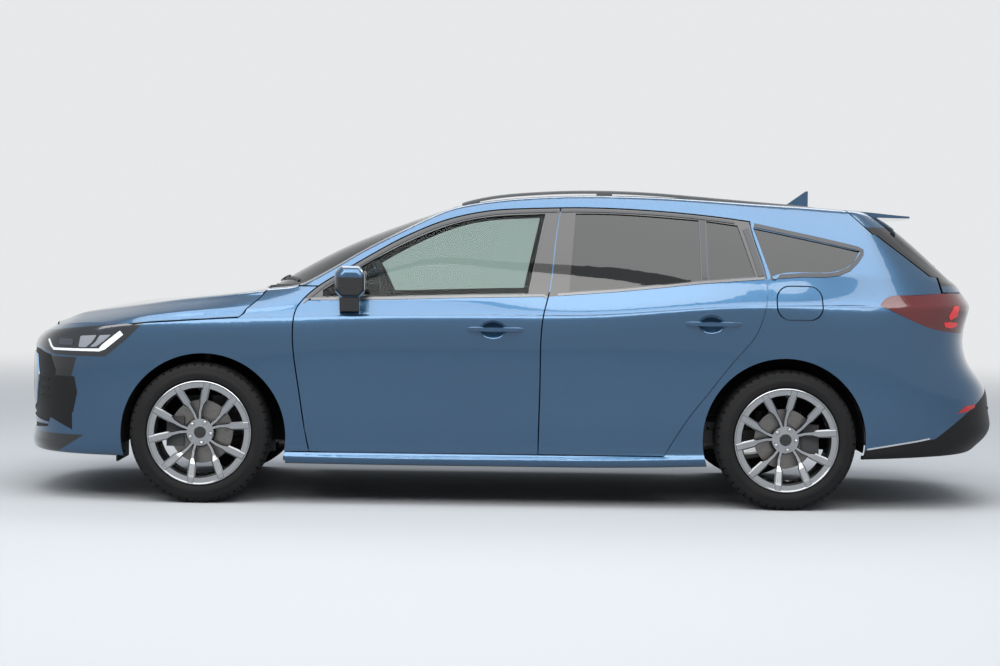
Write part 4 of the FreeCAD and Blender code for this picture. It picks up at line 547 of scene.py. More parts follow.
@dataclass(frozen=True)
class Lens:
    """A moulded lamp lens, its fine ribs lit from within or not, with painted shade in the valleys between
    them; on a reflector the glow is a painted glint.
    """

    name: str
    colour: Colour
    # Light from within on lamps; on a reflector this glow is a painted glint.
    glow: float = 0.0
    ribs: float = 420.0
    rough: float = 0.08
    valley_shade: float = 0.35
    coat_rough: float = 0.02
    sheen_level: float = 0.25
    relief: float = 0.0002
    relief_strength: float = 0.4

    def make(self) -> bpy.types.Material:
        """The lens's material.

        Returns:
            The material.
        """
        shader = new_shader(self.name)
        _, _, up = shader.split(shader.place())
        ribs = (up * self.ribs).sine() * 0.5 + 0.5
        # Painted shade: the valleys between the ribs are darker than their crests.
        colour = shader.blend(ribs, tuple(part * self.valley_shade for part in self.colour), self.colour)
        return shader.finish(shader.principled(
            Base_Color=colour, Roughness=self.rough, Coat_Weight=1.0, Coat_Roughness=self.coat_rough,
            Emission_Color=colour, Emission_Strength=self.glow, Specular_IOR_Level=self.sheen_level,
            Normal=shader.bump(ribs, self.relief, self.relief_strength)))


@dataclass(frozen=True)
class Cloth:
    """Woven upholstery with crossing threads."""

    name: str
    colour: Colour
    thread: Colour
    pitch: float = 900.0
    fleck_scale: float = 160.0
    fleck_edge: Range = (0.35, 0.75)
    rough: float = 0.90
    fleck_rough: float = 0.08
    sheen: float = 0.35
    sheen_rough: float = 0.5
    relief: float = 0.0005
    relief_strength: float = 0.8

    def make(self) -> bpy.types.Material:
        """The cloth's material.

        Returns:
            The material.
        """
        shader = new_shader(self.name)
        place = shader.place()
        along, across, up = shader.split(place)
        warp = (across * self.pitch).sine()
        weft = ((along + up) * self.pitch).sine()
        weave = warp * weft * 0.5 + 0.5
        fleck = shader.noise(place, self.fleck_scale, detail=3.0)
        return shader.finish(shader.principled(
            Base_Color=shader.blend(weave * fleck.ramp(*self.fleck_edge), self.colour, self.thread),
            Roughness=self.rough - fleck * self.fleck_rough, Sheen_Weight=self.sheen,
            Sheen_Roughness=self.sheen_rough, Normal=shader.bump(weave, self.relief, self.relief_strength)))


@dataclass(frozen=True)
class StudioFloor:
    """A pale matt floor that keeps the car's shadow, fades into the backdrop and sends back less light."""

    name: str = "studio_floor"
    colour: Colour = (0.42, 0.43, 0.44)
    bounce: Colour = (0.30, 0.305, 0.31)
    backdrop: Colour = BACKDROP
    fade: Range = (4.0, 15.0)
    speckle_scale: float = 40.0
    speckle: float = 0.97
    rough: float = 0.85
    sheen_level: float = 0.2

    def make(self) -> bpy.types.Material:
        """The floor's material.

        Returns:
            The material.
        """
        shader = new_shader(self.name)
        place = shader.place()
        seen = shader.shown()
        darker = tuple(part * self.speckle for part in self.colour)
        pale = shader.blend(shader.noise(place, self.speckle_scale, detail=4.0), self.colour, darker)
        matt = shader.principled(Base_Color=shader.blend(seen, self.bounce, pale), Roughness=self.rough,
                                 Specular_IOR_Level=self.sheen_level)
        x, y, _ = shader.split(place)
        away = (x * x + y * y) ** 0.5
        glow = shader.add("ShaderNodeEmission", sockets={"Color": (*self.backdrop, COLOUR_ALPHA)})
        return shader.finish(shader.between(away.ramp(*self.fade) * seen, matt, glow))


@dataclass
class Palette:
    """Every finish of the car, made once."""

    made: dict[str, bpy.types.Material] = field(default_factory=dict)

    def get(self, finish: object) -> bpy.types.Material:
        """The finish's material, made on first use.

        Args:
            finish: The finish.

        Returns:
            The material.
        """
        if finish.name not in self.made:
            self.made[finish.name] = finish.make()
        return self.made[finish.name]


@dataclass(frozen=True)
class Slant:
    """A straight edge of a zone: its value at a start and what it gains with each metre from there."""

    start: float
    value: float
    gain: float

    def at(self, place: Wire) -> Wire:
        """The edge's value at a place."""
        return (place - self.start) * self.gain + self.value


BELT_EDGES = (Slant(0.0, 0.9455, 0.0205), Slant(0.0, 0.8269, 0.0952))
FRAME_LAP = 0.010
CHEEK_EDGE = Slant(0.572, -0.601, 0.26)
CHEEK_HEIGHTS = (0.572, 0.661)
# Edges of the black band at the foot of the nose, painted there as shade on the bumper's underside.
UNDERSIDE_SHADE_EDGE = Slant(0.302, -0.540, 1.6)
UNDERSIDE_SHADE_TOP = 0.302
CORNER_MIDDLE = 0.500
CORNER_EDGE = Slant(0.0, -0.571, -0.22)
CORNER_HEIGHTS = (0.404, 0.572)
LOWER_EDGE = Slant(-0.615, 0.331, -0.45)
LOWER_END = -0.598
LOWER_TOP = 0.405
TAIL_EDGES = (Slant(3.073, 0.283, 0.165), Slant(3.387, 0.331, 0.75))
REAR_FRAME_HEIGHTS = (1.040, 1.312)
MIRROR_CAP_BOTTOM = 1.048


def from_side(shader: Shader, place: Wire) -> tuple[Wire, Wire]:
    """Metres behind the front axle and metres above the ground."""
    x, _, z = shader.split(place)
    return x - FRONT_AXLE_X, z


def within(value: Wire, limits: Range) -> Wire:
    """1 where a value lies between two limits."""
    return (value > limits[0]) * (value < limits[1])


def above_belt(shader: Shader, place: Wire) -> Wire:
    """1 on the door frames above the belt line.

    Args:
        shader: The finish's shader.
        place: Object coordinates.

    Returns:
        1 or 0 at each place.
    """
    behind, height = from_side(shader, place)
    level, rising = BELT_EDGES
    return height > level.at(behind).at_least(rising.at(behind)) - FRAME_LAP


def nose_gloss(shader: Shader, place: Wire) -> Wire:
    """1 on the glossy top of the nose's corner intakes, and on a gloss black band low on the nose that is
    painted shade on the bumper's underside.

    Args:
        shader: The finish's shader.
        place: Object coordinates.

    Returns:
        1 or 0 at each place.
    """
    behind, height = from_side(shader, place)
    cheek = (behind < CHEEK_EDGE.at(height)) * within(height, CHEEK_HEIGHTS)
    # Painted shade: the band at the foot of the nose is black where the bumper's underside lies in shade.
    underside_shade = (behind < UNDERSIDE_SHADE_EDGE.at(height)) * (height < UNDERSIDE_SHADE_TOP)
    return cheek.at_least(underside_shade)


def nose_matt(shader: Shader, place: Wire) -> Wire:
    """1 in the corner intakes and in the lower intake's ends.

    Args:
        shader: The finish's shader.
        place: Object coordinates.

    Returns:
        1 or 0 at each place.
    """
    behind, height = from_side(shader, place)
    corner = (behind < CORNER_EDGE.at((height - CORNER_MIDDLE).absolute())) * within(height, CORNER_HEIGHTS)
    lower = (behind < LOWER_END) * (height > LOWER_EDGE.at(behind)) * (height < LOWER_TOP)
    return corner.at_least(lower)


def tail_matt(shader: Shader, place: Wire) -> Wire:
    """1 on the moulded lower part of the rear bumper.

    Args:
        shader: The finish's shader.
        place: Object coordinates.

    Returns:
        1 or 0 at each place.
    """
    behind, height = from_side(shader, place)
    flat, steep = TAIL_EDGES
    return height < flat.at(behind).at_least(steep.at(behind))


def rear_window_frame(shader: Shader, place: Wire) -> Wire:
    """1 on the tailgate's frame round its glass."""
    return within(from_side(shader, place)[1], REAR_FRAME_HEIGHTS)


def below_mirror_cap(shader: Shader, place: Wire) -> Wire:
    """1 on the mirror's foot and lower shell."""
    return from_side(shader, place)[1] < MIRROR_CAP_BOTTOM


PAINT_SIDE = {side: MetallicPaint("paint_side_" + side.word, inward=-side.outward) for side in Side}
PAINT_DOOR = {side: MetallicPaint("paint_door_" + side.word, inward=-side.outward, gloss_zone=above_belt)
              for side in Side}
PAINT_DOWN = MetallicPaint("paint_top", inward=-UP, trim=(0.30, 0.29, 0.27))
PAINT_ALL = MetallicPaint("paint_all")
PAINT_MIRROR = MetallicPaint("paint_mirror", gloss_zone=below_mirror_cap)
PAINT_FRONT = MetallicPaint("paint_front", inward=REARWARD, gloss_zone=nose_gloss, matt_zone=nose_matt)
PAINT_REAR = MetallicPaint("paint_rear", inward=-REARWARD, matt_zone=tail_matt)
PAINT_TAILGATE = MetallicPaint("paint_tailgate", inward=-REARWARD, gloss_zone=rear_window_frame)
GLOSS_BLACK = Moulding("gloss_black_finish", (0.004, 0.004, 0.005), rough=0.12, grain=30.0, relief=0.00002,
                       coat=1.0)
MATT_BLACK = Moulding("matt_black_plastic", (0.009, 0.009, 0.010), rough=0.55)
SOFT_BLACK = Moulding("soft_dash_skin", (0.022, 0.022, 0.024), rough=0.62, grain=900.0, relief=0.0004)
SEAL_RUBBER = Moulding("seal_rubber", (0.010, 0.010, 0.011), rough=0.48)
LINER_FELT = Moulding("liner_felt", (0.008, 0.008, 0.009), rough=0.90, grain=300.0, relief=0.0008)
GRAPHITE_TRIM = BareMetal("graphite_trim", (0.045, 0.047, 0.050), rough=0.18, grain=20.0, relief=0.00002,
                          grime=0.05, metal=0.8)
BELT_TRIM = BareMetal("belt_trim_metal", (0.11, 0.113, 0.118), rough=0.20, grain=25.0, relief=0.00002,
                      grime=0.06, metal=0.9)
# Satin aluminium, used only for the painted highlight strip along the rear bumper's lower crease.
HIGHLIGHT_SATIN = BareMetal("satin_aluminium", (0.62, 0.63, 0.64), rough=0.20, grain=25.0, relief=0.00002,
                       grime=0.06)
RAIL_METAL = BareMetal("rail_metal", (0.10, 0.105, 0.11), rough=0.26, grain=30.0, relief=0.00003,
                       grime=0.08, metal=0.7, coat=0.6)
CHASSIS_IRON = BareMetal("chassis_iron_finish", (0.06, 0.06, 0.062), rough=0.50, grain=60.0, metal=0.5,
                         grime=0.6)
ENGINE_CAST = BareMetal("engine_cast", (0.22, 0.22, 0.23), rough=0.48, grain=140.0, metal=0.8, grime=0.5)
EXHAUST_STEEL = BareMetal("exhaust_finish", (0.34, 0.32, 0.29), rough=0.36, grain=70.0, grime=0.5)
BOLT_STEEL = BareMetal("bolt_steel", (0.40, 0.41, 0.42), rough=0.25, grain=60.0, relief=0.00003, grime=0.15)
MIRROR_SILVER = BareMetal("mirror_silver", (0.85, 0.86, 0.87), rough=0.02, grain=5.0, relief=0.0,
                          grime=0.02)
LAMP_COVER = BareMetal("lamp_housing", (0.030, 0.034, 0.042), rough=0.12, grain=20.0, relief=0.00002,
                       grime=0.05, metal=0.9, coat=1.0)
LAMP_CHROME = BareMetal("lamp_chrome", (0.42, 0.45, 0.50), rough=0.16, grain=20.0, relief=0.00002,
                        grime=0.02)
CLEAR_GLASS = Glazing("clear_glass", (0.84, 0.90, 0.88), density=0.06)
DARK_GLASS = Glazing("privacy_glass", (0.10, 0.11, 0.12), density=0.62)
DAY_LIGHT = Lens("day_light_strip", (0.90, 0.93, 0.97), glow=0.55, ribs=1800.0)
RED_LENS = Lens("red_lens", (0.12, 0.003, 0.006), glow=0.03, ribs=2400.0)
RED_LIT = Lens("red_lit_lens", (0.80, 0.012, 0.018), glow=0.35, ribs=2000.0)
# The rear reflectors are no lamps: their glow is a painted glint.
RED_REFLECTOR = Lens("red_reflector", (0.55, 0.010, 0.014), glow=0.12, ribs=1500.0, rough=0.15)
SMOKED_LENS = Lens("smoked_lens", (0.05, 0.06, 0.08), glow=0.0, ribs=700.0, rough=0.05)
SEAT_CLOTH = Cloth("seat_cloth_finish", (0.020, 0.020, 0.022), (0.070, 0.072, 0.078))


class Skin:
    """The outside of some nodes, on which thin pieces are laid."""

    def __init__(self, nodes: Iterable[str], way: Vector) -> None:
        """Keeps the nodes' surface and the way out of it.

        Args:
            nodes: The CAD nodes that carry the pieces.
            way: The direction out of the surface.
        """
        shell = bmesh.new()
        for node in nodes:
            shell.from_mesh(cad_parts[node].data)
        self.tree = BVHTree.FromBMesh(shell)
        self.way = way.normalized()
        shell.free()

    def laid(self, point: Vector, lift: float) -> Vector:
        """A point moved along the way onto the surface.

        Args:
            point: Any point in front of the surface or behind it.
            lift: Metres that it stands above the surface.

        Returns:
            The place on the surface, or the nearest one where none lies behind.
        """
        start = point + self.way * RAY_START
        hit, _, _, _ = self.tree.ray_cast(start, -self.way)
        if hit is None:
            hit, _, _, _ = self.tree.find_nearest(point)
        return hit + self.way * lift


class Builder:
    """Turns bmeshes into finished pieces."""

    def __init__(self, palette: Palette) -> None:
        """Keeps the palette of finishes."""
        self.palette = palette
        self.count = 0

    def piece(self, name: str, shape: bmesh.types.BMesh, finish: object, body: str,
              smooth_angle: float = 35.0) -> bpy.types.Object:
        """Makes an object of a bmesh, dresses it and lets it ride on its body.

        Args:
            name: The piece's name.
            shape: Its shape, freed afterwards.
            finish: Its finish.
            body: The CAD body that carries it.
            smooth_angle: Edges sharper than this many degrees stay sharp.

        Returns:
            The new object.
        """
        bmesh.ops.recalc_face_normals(shape, faces=shape.faces)
        limit = math.radians(smooth_angle)
        for edge in shape.edges:
            edge.smooth = len(edge.link_faces) == 2 and edge.calc_face_angle(math.pi) < limit
        for face in shape.faces:
            face.smooth = True
        mesh = bpy.data.meshes.new(name)
        shape.to_mesh(mesh)
        shape.free()
        thing = bpy.data.objects.new(name, mesh)
        bpy.context.scene.collection.objects.link(thing)
        thing.data.materials.append(self.palette.get(finish))
        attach(thing, body)
        self.count += 1
        log.info("%s: %d faces on %s", name, len(mesh.polygons), body)
        return thing

    def paint(self, node: str, finish: object) -> None:
        """Dresses a CAD node.

        Args:
            node: The CAD node.
            finish: The finish.
        """
        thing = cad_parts[node]
        thing.data.materials.clear()
        thing.data.materials.append(self.palette.get(finish))


def joined(parts: Iterable[bmesh.types.BMesh]) -> bmesh.types.BMesh:
    """One bmesh of several, which are freed.

    Args:
        parts: The bmeshes.

    Returns:
        A new bmesh.
    """
    whole = bmesh.new()
    for part in parts:
        mesh = bpy.data.meshes.new("part")
        part.to_mesh(mesh)
        part.free()
        whole.from_mesh(mesh)
        bpy.data.meshes.remove(mesh)
    return whole


def thickened(sheet: bmesh.types.BMesh, skin_way: Vector, thick: float) -> bmesh.types.BMesh:
    """A sheet given a thickness against the way it faces.

    Args:
        sheet: An open sheet.
        skin_way: The way its outer face looks.
        thick: Metres of thickness.

    Returns:
        The same bmesh, closed.
    """
    front = list(sheet.faces)
    for face in front:
        face.normal_update()
        if face.normal.dot(skin_way) < 0:
            face.normal_flip()
    result = bmesh.ops.extrude_face_region(sheet, geom=front)
    raised = [item for item in result["geom"] if isinstance(item, bmesh.types.BMVert)]
    bmesh.ops.translate(sheet, verts=raised, vec=skin_way * thick)
    return sheet


def outlined(points: Sequence[Vector], radius: float = 0.0) -> bmesh.types.BMesh:
    """A flat shape inside a closed outline.

    Args:
        points: The outline's corners.
        radius: How far the corners are rounded, or 0.

    Returns:
        A new bmesh, triangulated.
    """
    shape = bmesh.new()
    corners = [shape.verts.new(point) for point in points]
    bmesh.ops.contextual_create(shape, geom=corners)
    shape.normal_update()
    if radius:
        bmesh.ops.bevel(shape, geom=shape.verts[:], offset=radius, offset_type="OFFSET",
                        segments=CORNER_SEGMENTS, affect="VERTICES", profile=0.5, material=-1)
    bmesh.ops.triangulate(shape, faces=shape.faces)
    return shape


def diced(shape: bmesh.types.BMesh, step: float) -> bmesh.types.BMesh:
    """A flat shape cut into strips so that it can follow a curved surface.

    Args:
        shape: A flat shape.
        step: Metres between the cuts along each of its long directions.

    Returns:
        The same bmesh, cut.
    """
    for axis in (REARWARD, RIGHTWARD, UP):
        places = [vert.co.dot(axis) for vert in shape.verts]
        low, high = min(places), max(places)
        cuts = int((high - low) / step)
        for index in range(1, cuts + 1):
            at = low + (high - low) * index / (cuts + 1)
            geom = shape.verts[:] + shape.edges[:] + shape.faces[:]
            bmesh.ops.bisect_plane(shape, geom=geom, plane_co=axis * at, plane_no=axis, dist=MERGE)
    return shape


def draped(shape: bmesh.types.BMesh, skin: Skin, lift: float, thick: float, step: float) -> bmesh.types.BMesh:
    """A flat shape laid on a skin and thickened.

    Args:
        shape: A flat shape across the skin's way.
        skin: The surface that carries it.
        lift: Metres from the skin to the underside, less than 0 to sink in.
        thick: Metres of thickness.
        step: Metres between the cuts that let it bend.

    Returns:
        The same bmesh, closed and in place.
    """
    diced(shape, step)
    for vert in shape.verts:
        vert.co = skin.laid(vert.co, lift)
    return thickened(shape, skin.way, thick)


@dataclass(frozen=True)
class View:
    """A direction from which flat pieces are drawn and laid on the car."""

    way: Vector
    across: Vector
    up: Vector
    origin: Vector

    def points(self, places: Sequence[Point2]) -> list[Vector]:
        """Places in the view as points in the frame."""
        return [self.origin + self.across * a + self.up * b for a, b in places]

    def band(self, path: Sequence[Point2], widths: Union[float, Sequence[float]]) -> bmesh.types.BMesh:
        """A flat band between a path and a line on its right.

        Args:
            path: The band's first edge.
            widths: Its width in metres, the same all along or one for each point.

        Returns:
            The band's faces.
        """
        if isinstance(widths, float):
            widths = [widths] * len(path)
        other = []
        for index, (a, b) in enumerate(path):
            before, after = path[max(index - 1, 0)], path[min(index + 1, len(path) - 1)]
            run = Vector((after[0] - before[0], after[1] - before[1])).normalized()
            other.append((a + run.y * widths[index], b - run.x * widths[index]))
        shape = bmesh.new()
        edges = []
        for line in (path, other):
            verts = [shape.verts.new(point) for point in self.points(line)]
            edges += [shape.edges.new(pair) for pair in zip(verts, verts[1:])]
        bmesh.ops.bridge_loops(shape, edges=edges)
        return shape


HALF_LENGTH = 2.4
HALF_WIDTH = 0.9
HEIGHT = 1.6
SIDE_VIEW = {side: View(side.outward, REARWARD, UP, REARWARD * FRONT_AXLE_X + side.outward * HALF_WIDTH)
             for side in Side}
NOSE_VIEW = View(-REARWARD, RIGHTWARD, UP, -REARWARD * HALF_LENGTH)
TAIL_VIEW = View(REARWARD, RIGHTWARD, UP, REARWARD * HALF_LENGTH)
TOP_VIEW = View(UP, REARWARD, RIGHTWARD, REARWARD * FRONT_AXLE_X + UP * HEIGHT)


@dataclass(frozen=True)
class Laid:
    """How thin pieces are laid: what carries them, what they are made of and how they stand."""

    view: View
    nodes: tuple[str, ...]
    body: str
    finish: object
    slot: Slot
    lift: float = 0.0008
    thick: float = 0.0025
    step: float = 0.03

    def drape(self, builder: "Builder", name: str, shape: bmesh.types.BMesh) -> bpy.types.Object:
        """Lays a flat shape on the nodes and makes it a piece.

        Args:
            builder: Takes the finished pieces.
            name: The piece's name.
            shape: A flat shape in the view.

        Returns:
            The piece.
        """
        skin = Skin(self.nodes, self.view.way)
        draped(shape, skin, self.lift, self.thick, self.step)
        return builder.piece(name, shape, self.finish, self.body)

    def strip(self, builder: "Builder", name: str, path: Sequence[Point2],
              widths: Union[float, Sequence[float]]) -> bpy.types.Object:
        """A strip on the right of a path."""
        return self.drape(builder, name, self.view.band(path, widths))

    def patches(self, builder: "Builder", name: str, outlines: Sequence[Sequence[Point2]],
                radius: float = 0.0) -> bpy.types.Object:
        """Pieces with those outlines as one, their corners rounded by a radius."""
        flats = [outlined(self.view.points(outline), radius) for outline in outlines]
        return self.drape(builder, name, joined(flats))

    def patch(self, builder: "Builder", name: str, outline: Sequence[Point2], radius: float = 0.0
              ) -> bpy.types.Object:
        """A piece with that outline, its corners rounded by a radius."""
        return self.patches(builder, name, (outline,), radius)


def box_outline(a: float, b: float, width: float, height: float) -> list[Point2]:
    """A rectangle's corners in a view, from its centre."""
    return [(a + width / 2 * i, b + height / 2 * j) for i, j in ((-1, -1), (1, -1), (1, 1), (-1, 1))]


def disc_outline(a: float, b: float, radius: float, count: int = 20) -> list[Point2]:
    """A circle's points in a view."""
    turns = [math.tau * index / count for index in range(count)]
    return [(a + radius * math.cos(turn), b + radius * math.sin(turn)) for turn in turns]


def mirrored(outline: Sequence[Point2], sign: int) -> list[Point2]:
    """An outline on one side of the nose or tail, from the one at positive Y."""
    return [(a * sign, b) for a, b in outline]


@dataclass(frozen=True)
class WheelCoat:
    """Dark wheel paint with a painted highlight on the faces that look outward, with the bare iron of the
    brake disc behind.
    """

    name: str
    centre: Vector
    outward: Vector
    disc_radius: float
    disc_reach: float = 0.0385
    dark: Colour = (0.040, 0.042, 0.046)
    # Painted highlight: the paler tone given to faces that look outward, standing in for light falling on
    # them.
    face: Colour = (0.300, 0.310, 0.325)
    lit_face_edge: Range = (0.55, 0.95)
    metal: float = 0.80
    rough: float = 0.22
    coat: float = 0.8
    coat_rough: float = 0.04
    iron: Colour = (0.17, 0.165, 0.16)
    iron_metal: float = 0.95
    iron_rough: float = 0.32
    ring_pitch: float = 2600.0
    ring_relief: float = 0.0002
    relief_strength: float = 0.6
    rust: Colour = (0.12, 0.07, 0.045)
    rust_scale: float = 60.0
    rust_edge: Range = (0.50, 0.75)
    rust_share: float = 0.35
    rust_rough: float = 0.4

    def make(self) -> bpy.types.Material:
        """The wheel's material.

        Returns:
            The material.
        """
        shader = new_shader(self.name)
        place = shader.place()
        x, y, z = shader.split(place)
        along = x - self.centre.x
        up = z - self.centre.z
        radius = (along * along + up * up) ** 0.5
        reach = (y - self.centre.y).absolute()
        disc = (radius < self.disc_radius) * (reach < self.disc_reach)
        _, normal_lean, _ = shader.split(shader.facing())
        # Painted highlight: faces that look outward get the pale tone, and sloping faces keep the dark one as
        # painted shade.
        paint = shader.blend((normal_lean * self.outward.y).ramp(*self.lit_face_edge), self.dark, self.face)
        rust = shader.noise(place, self.rust_scale, detail=4.0).ramp(*self.rust_edge) * self.rust_share
        rings = (radius * self.ring_pitch).sine() * 0.5 + 0.5
        rough = disc * (self.iron_rough - self.rough) + self.rough + rust * disc * self.rust_rough
        return shader.finish(shader.principled(
            Base_Color=shader.blend(disc, paint, shader.blend(rust, self.iron, self.rust)),
            Metallic=disc * (self.iron_metal - self.metal) + self.metal, Roughness=rough,
            Coat_Weight=(1.0 - disc) * self.coat, Coat_Roughness=self.coat_rough,
            Normal=shader.bump(rings * disc, self.ring_relief, self.relief_strength)))


TYRE_WALL = ((0.872, 0.661), (0.872, 0.744), (0.960, 0.765), (0.985, 0.795), (1.0, 0.832), (0.992, 0.862),
             (0.985, 0.866), (0.978, 0.890), (0.950, 0.922), (0.938, 0.925), (0.920, 0.944), (0.870, 0.970),
             (0.800, 0.984))


@dataclass
class Wheel:
    """One road wheel: its treaded tyre, bolts, blank centre cap and valve."""

    end: str
    side: Side
    bolt_angle: float
    disc_radius: float
    steps: int = 208
    block: int = 4
    grooves: tuple[float, float] = (0.62, 0.24)
    groove_half: float = 0.0045
    groove_slant: float = 0.001575
    groove_deep: float = 0.0065
    crown_drop: float = 0.014
    shoulder: Range = (0.64, 0.93)
    shoulder_radius: float = 0.955
    rib: Range = (0.26, 0.60)
    rib_radius: float = 0.985
    sipe_inset: float = 0.0016
    sipe_deep: float = 0.00455
    tyre_smooth: float = 28.0
    bolt_count: int = 5
    bolt_circle: float = 0.050
    bolt_across: float = 0.0185
    bolt_taper: float = 0.94
    bolt_high: float = 0.014
    bolt_face: float = 0.0590
    dome_radius: float = 0.00777
    dome_flat: float = 0.55
    dome_lift: float = 0.006
    cap_radius: float = 0.0285
    cap_taper: float = 0.93
    cap_high: float = 0.006
    cap_rim: float = 0.005
    cap_dish: float = 0.0012
    cap_face: float = 0.0675
    valve_radii: tuple[float, float] = (0.0055, 0.0040)
    valve_long: float = 0.034
    valve_lean: float = 70.0
    valve_reach: float = 0.80
    valve_rise: float = 0.618

    @property
    def corner(self) -> str:
        """The two letters that end this wheel's names."""
        return self.end + self.side.letter

    @property
    def body(self) -> str:
        """The body that this wheel is."""
        return "road_wheel_" + self.corner

    def measure(self) -> tuple[Vector, float, float]:
        """The wheel's centre, its tyre's radius and half its width."""
        low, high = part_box("tyre_" + self.corner)
        return (low + high) / 2, (high.z - low.z) / 2, (high.y - low.y) / 2

    def section(self, radius: float, half: float) -> list[Vector]:
        """The tyre's cross section at its top, grooves included, as points of the YZ plane.

        Args:
            radius: The tyre's outer radius.
            half: Half its width.

        Returns:
            Points in order round the section.
        """
        points = [(half * y, radius * r) for y, r in TYRE_WALL]
        for share in self.grooves:
            y = half * share
            top = radius * (1.0 - self.crown_drop * share ** 3)
            floor = top - self.groove_deep
            inner, outer = y - self.groove_half, y + self.groove_half
            points += [(outer, top), (outer - self.groove_slant, floor), (inner + self.groove_slant, floor),
                       (inner, top)]
        points += [(-y, r) for y, r in reversed(points)]
        return [Vector((0.0, y, r)) for y, r in points]

    def is_sipe(self, face: bmesh.types.BMFace, radius: float, half: float) -> bool:
        """Whether a face of the tread is cut in as a cross groove.

        Args:
            face: A face of the tyre, centred on the origin.
            radius: The tyre's outer radius.
            half: Half its width.

        Returns:
            True on every fourth step of the shoulders and ribs, two steps later on its left half.
        """
        middle = face.calc_center_median()
        away = math.hypot(middle.x, middle.z)
        turn = int((math.atan2(middle.z, middle.x) + math.pi) / math.tau * self.steps + 0.5)
        share = abs(middle.y) / half
        shoulder = away > radius * self.shoulder_radius and self.shoulder[0] < share < self.shoulder[1]
        rib = away > radius * self.rib_radius and self.rib[0] < share < self.rib[1]
        late = 0 if middle.y > 0 else self.block // 2
        return (shoulder or rib) and (turn + late) % self.block == 0

    def tyre(self, builder: Builder) -> None:
        """Spins the section round and cuts the cross grooves of the tread.

        Args:
            builder: Takes the finished pieces.
        """
        centre, radius, half = self.measure()
        shape = bmesh.new()
        ring = [shape.verts.new(point) for point in self.section(radius, half)]
        edges = [shape.edges.new(pair) for pair in zip(ring, ring[1:] + ring[:1])]
        bmesh.ops.spin(shape, geom=ring + edges, cent=(0.0, 0.0, 0.0), axis=RIGHTWARD, angle=math.tau,
                       steps=self.steps, use_merge=True)
        bmesh.ops.remove_doubles(shape, verts=shape.verts, dist=MERGE)
        bmesh.ops.recalc_face_normals(shape, faces=shape.faces)
        sipes = [face for face in shape.faces if self.is_sipe(face, radius, half)]
        bmesh.ops.inset_individual(shape, faces=sipes, thickness=self.sipe_inset, depth=-self.sipe_deep)
        bmesh.ops.translate(shape, verts=shape.verts, vec=centre)
        thing = builder.piece("tread_tyre_" + self.corner, shape, Rubber(), self.body,
                              self.tyre_smooth)
        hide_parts("tyre_" + self.corner)

    def set_out(self, shape: bmesh.types.BMesh, reach: float, offset: Vector, lean: float = 90.0) -> None:
        """Turns a fitting's axis from Z outwards and moves it to its place on the wheel.

        Args:
            shape: The fitting, centred on the origin.
            reach: Metres from the wheel's centre outwards.
            offset: Its place from there.
            lean: Degrees that it turns.
        """
        turn = Matrix.Rotation(math.radians(-lean * self.side.value), 3, "X")
        bmesh.ops.rotate(shape, verts=shape.verts, matrix=turn)
        centre, _, _ = self.measure()
        bmesh.ops.translate(shape, verts=shape.verts, vec=centre + self.side.outward * reach + offset)

    def bolts(self, builder: Builder) -> None:
        """Hexagonal bolt heads with domed ends.

        Args:
            builder: Takes the finished pieces.
        """
        heads = []
        radius = self.bolt_across / math.sqrt(3.0)
        for index in range(self.bolt_count):
            angle = math.radians(self.bolt_angle) + math.tau * index / self.bolt_count
            head = bmesh.new()
            bmesh.ops.create_cone(head, cap_ends=True, segments=6, radius1=radius,
                                  radius2=radius * self.bolt_taper, depth=self.bolt_high)
            dome = bmesh.ops.create_uvsphere(head, u_segments=12, v_segments=6, radius=self.dome_radius)
            bmesh.ops.scale(head, verts=dome["verts"], vec=(1.0, 1.0, self.dome_flat))
            bmesh.ops.translate(head, verts=dome["verts"], vec=UP * self.dome_lift)
            spoke = Vector((math.cos(angle), 0.0, math.sin(angle)))
            self.set_out(head, self.bolt_face, spoke * self.bolt_circle)
            heads.append(head)
        builder.piece("wheel_bolts_" + self.corner, joined(heads), BOLT_STEEL, self.body)

    def cap(self, builder: Builder) -> None:
        """A blank domed centre cap.

        Args:
            builder: Takes the finished pieces.
        """
        shape = bmesh.new()
        bmesh.ops.create_cone(shape, cap_ends=True, segments=48, radius1=self.cap_radius,
                              radius2=self.cap_radius * self.cap_taper, depth=self.cap_high)
        crown = [face for face in shape.faces if face.normal.z > 0.9]
        bmesh.ops.inset_region(shape, faces=crown, thickness=self.cap_rim, depth=-self.cap_dish)
        self.set_out(shape, self.cap_face, Vector())
        builder.piece("centre_cap_" + self.corner, shape, GLOSS_BLACK, self.body)

    def valve(self, builder: Builder) -> None:
        """The rubber valve on the rim's shoulder.

        Args:
            builder: Takes the finished pieces.
        """
        _, radius, half = self.measure()
        shape = bmesh.new()
        bmesh.ops.create_cone(shape, cap_ends=True, segments=12, radius1=self.valve_radii[0],
                              radius2=self.valve_radii[1], depth=self.valve_long)
        self.set_out(shape, half * self.valve_reach, UP * radius * self.valve_rise, self.valve_lean)
        builder.piece("valve_" + self.corner, shape, SEAL_RUBBER, self.body)

    def build(self, builder: Builder) -> None:
        """Makes the wheel's pieces and paints its rim.

        Args:
            builder: Takes the finished pieces.
        """
        self.tyre(builder)
        self.bolts(builder)
        self.cap(builder)
        self.valve(builder)
        centre, _, _ = self.measure()
        coat = WheelCoat("wheel_coat_" + self.corner, centre, self.side.outward, self.disc_radius)
        builder.paint("wheel_" + self.corner, coat)


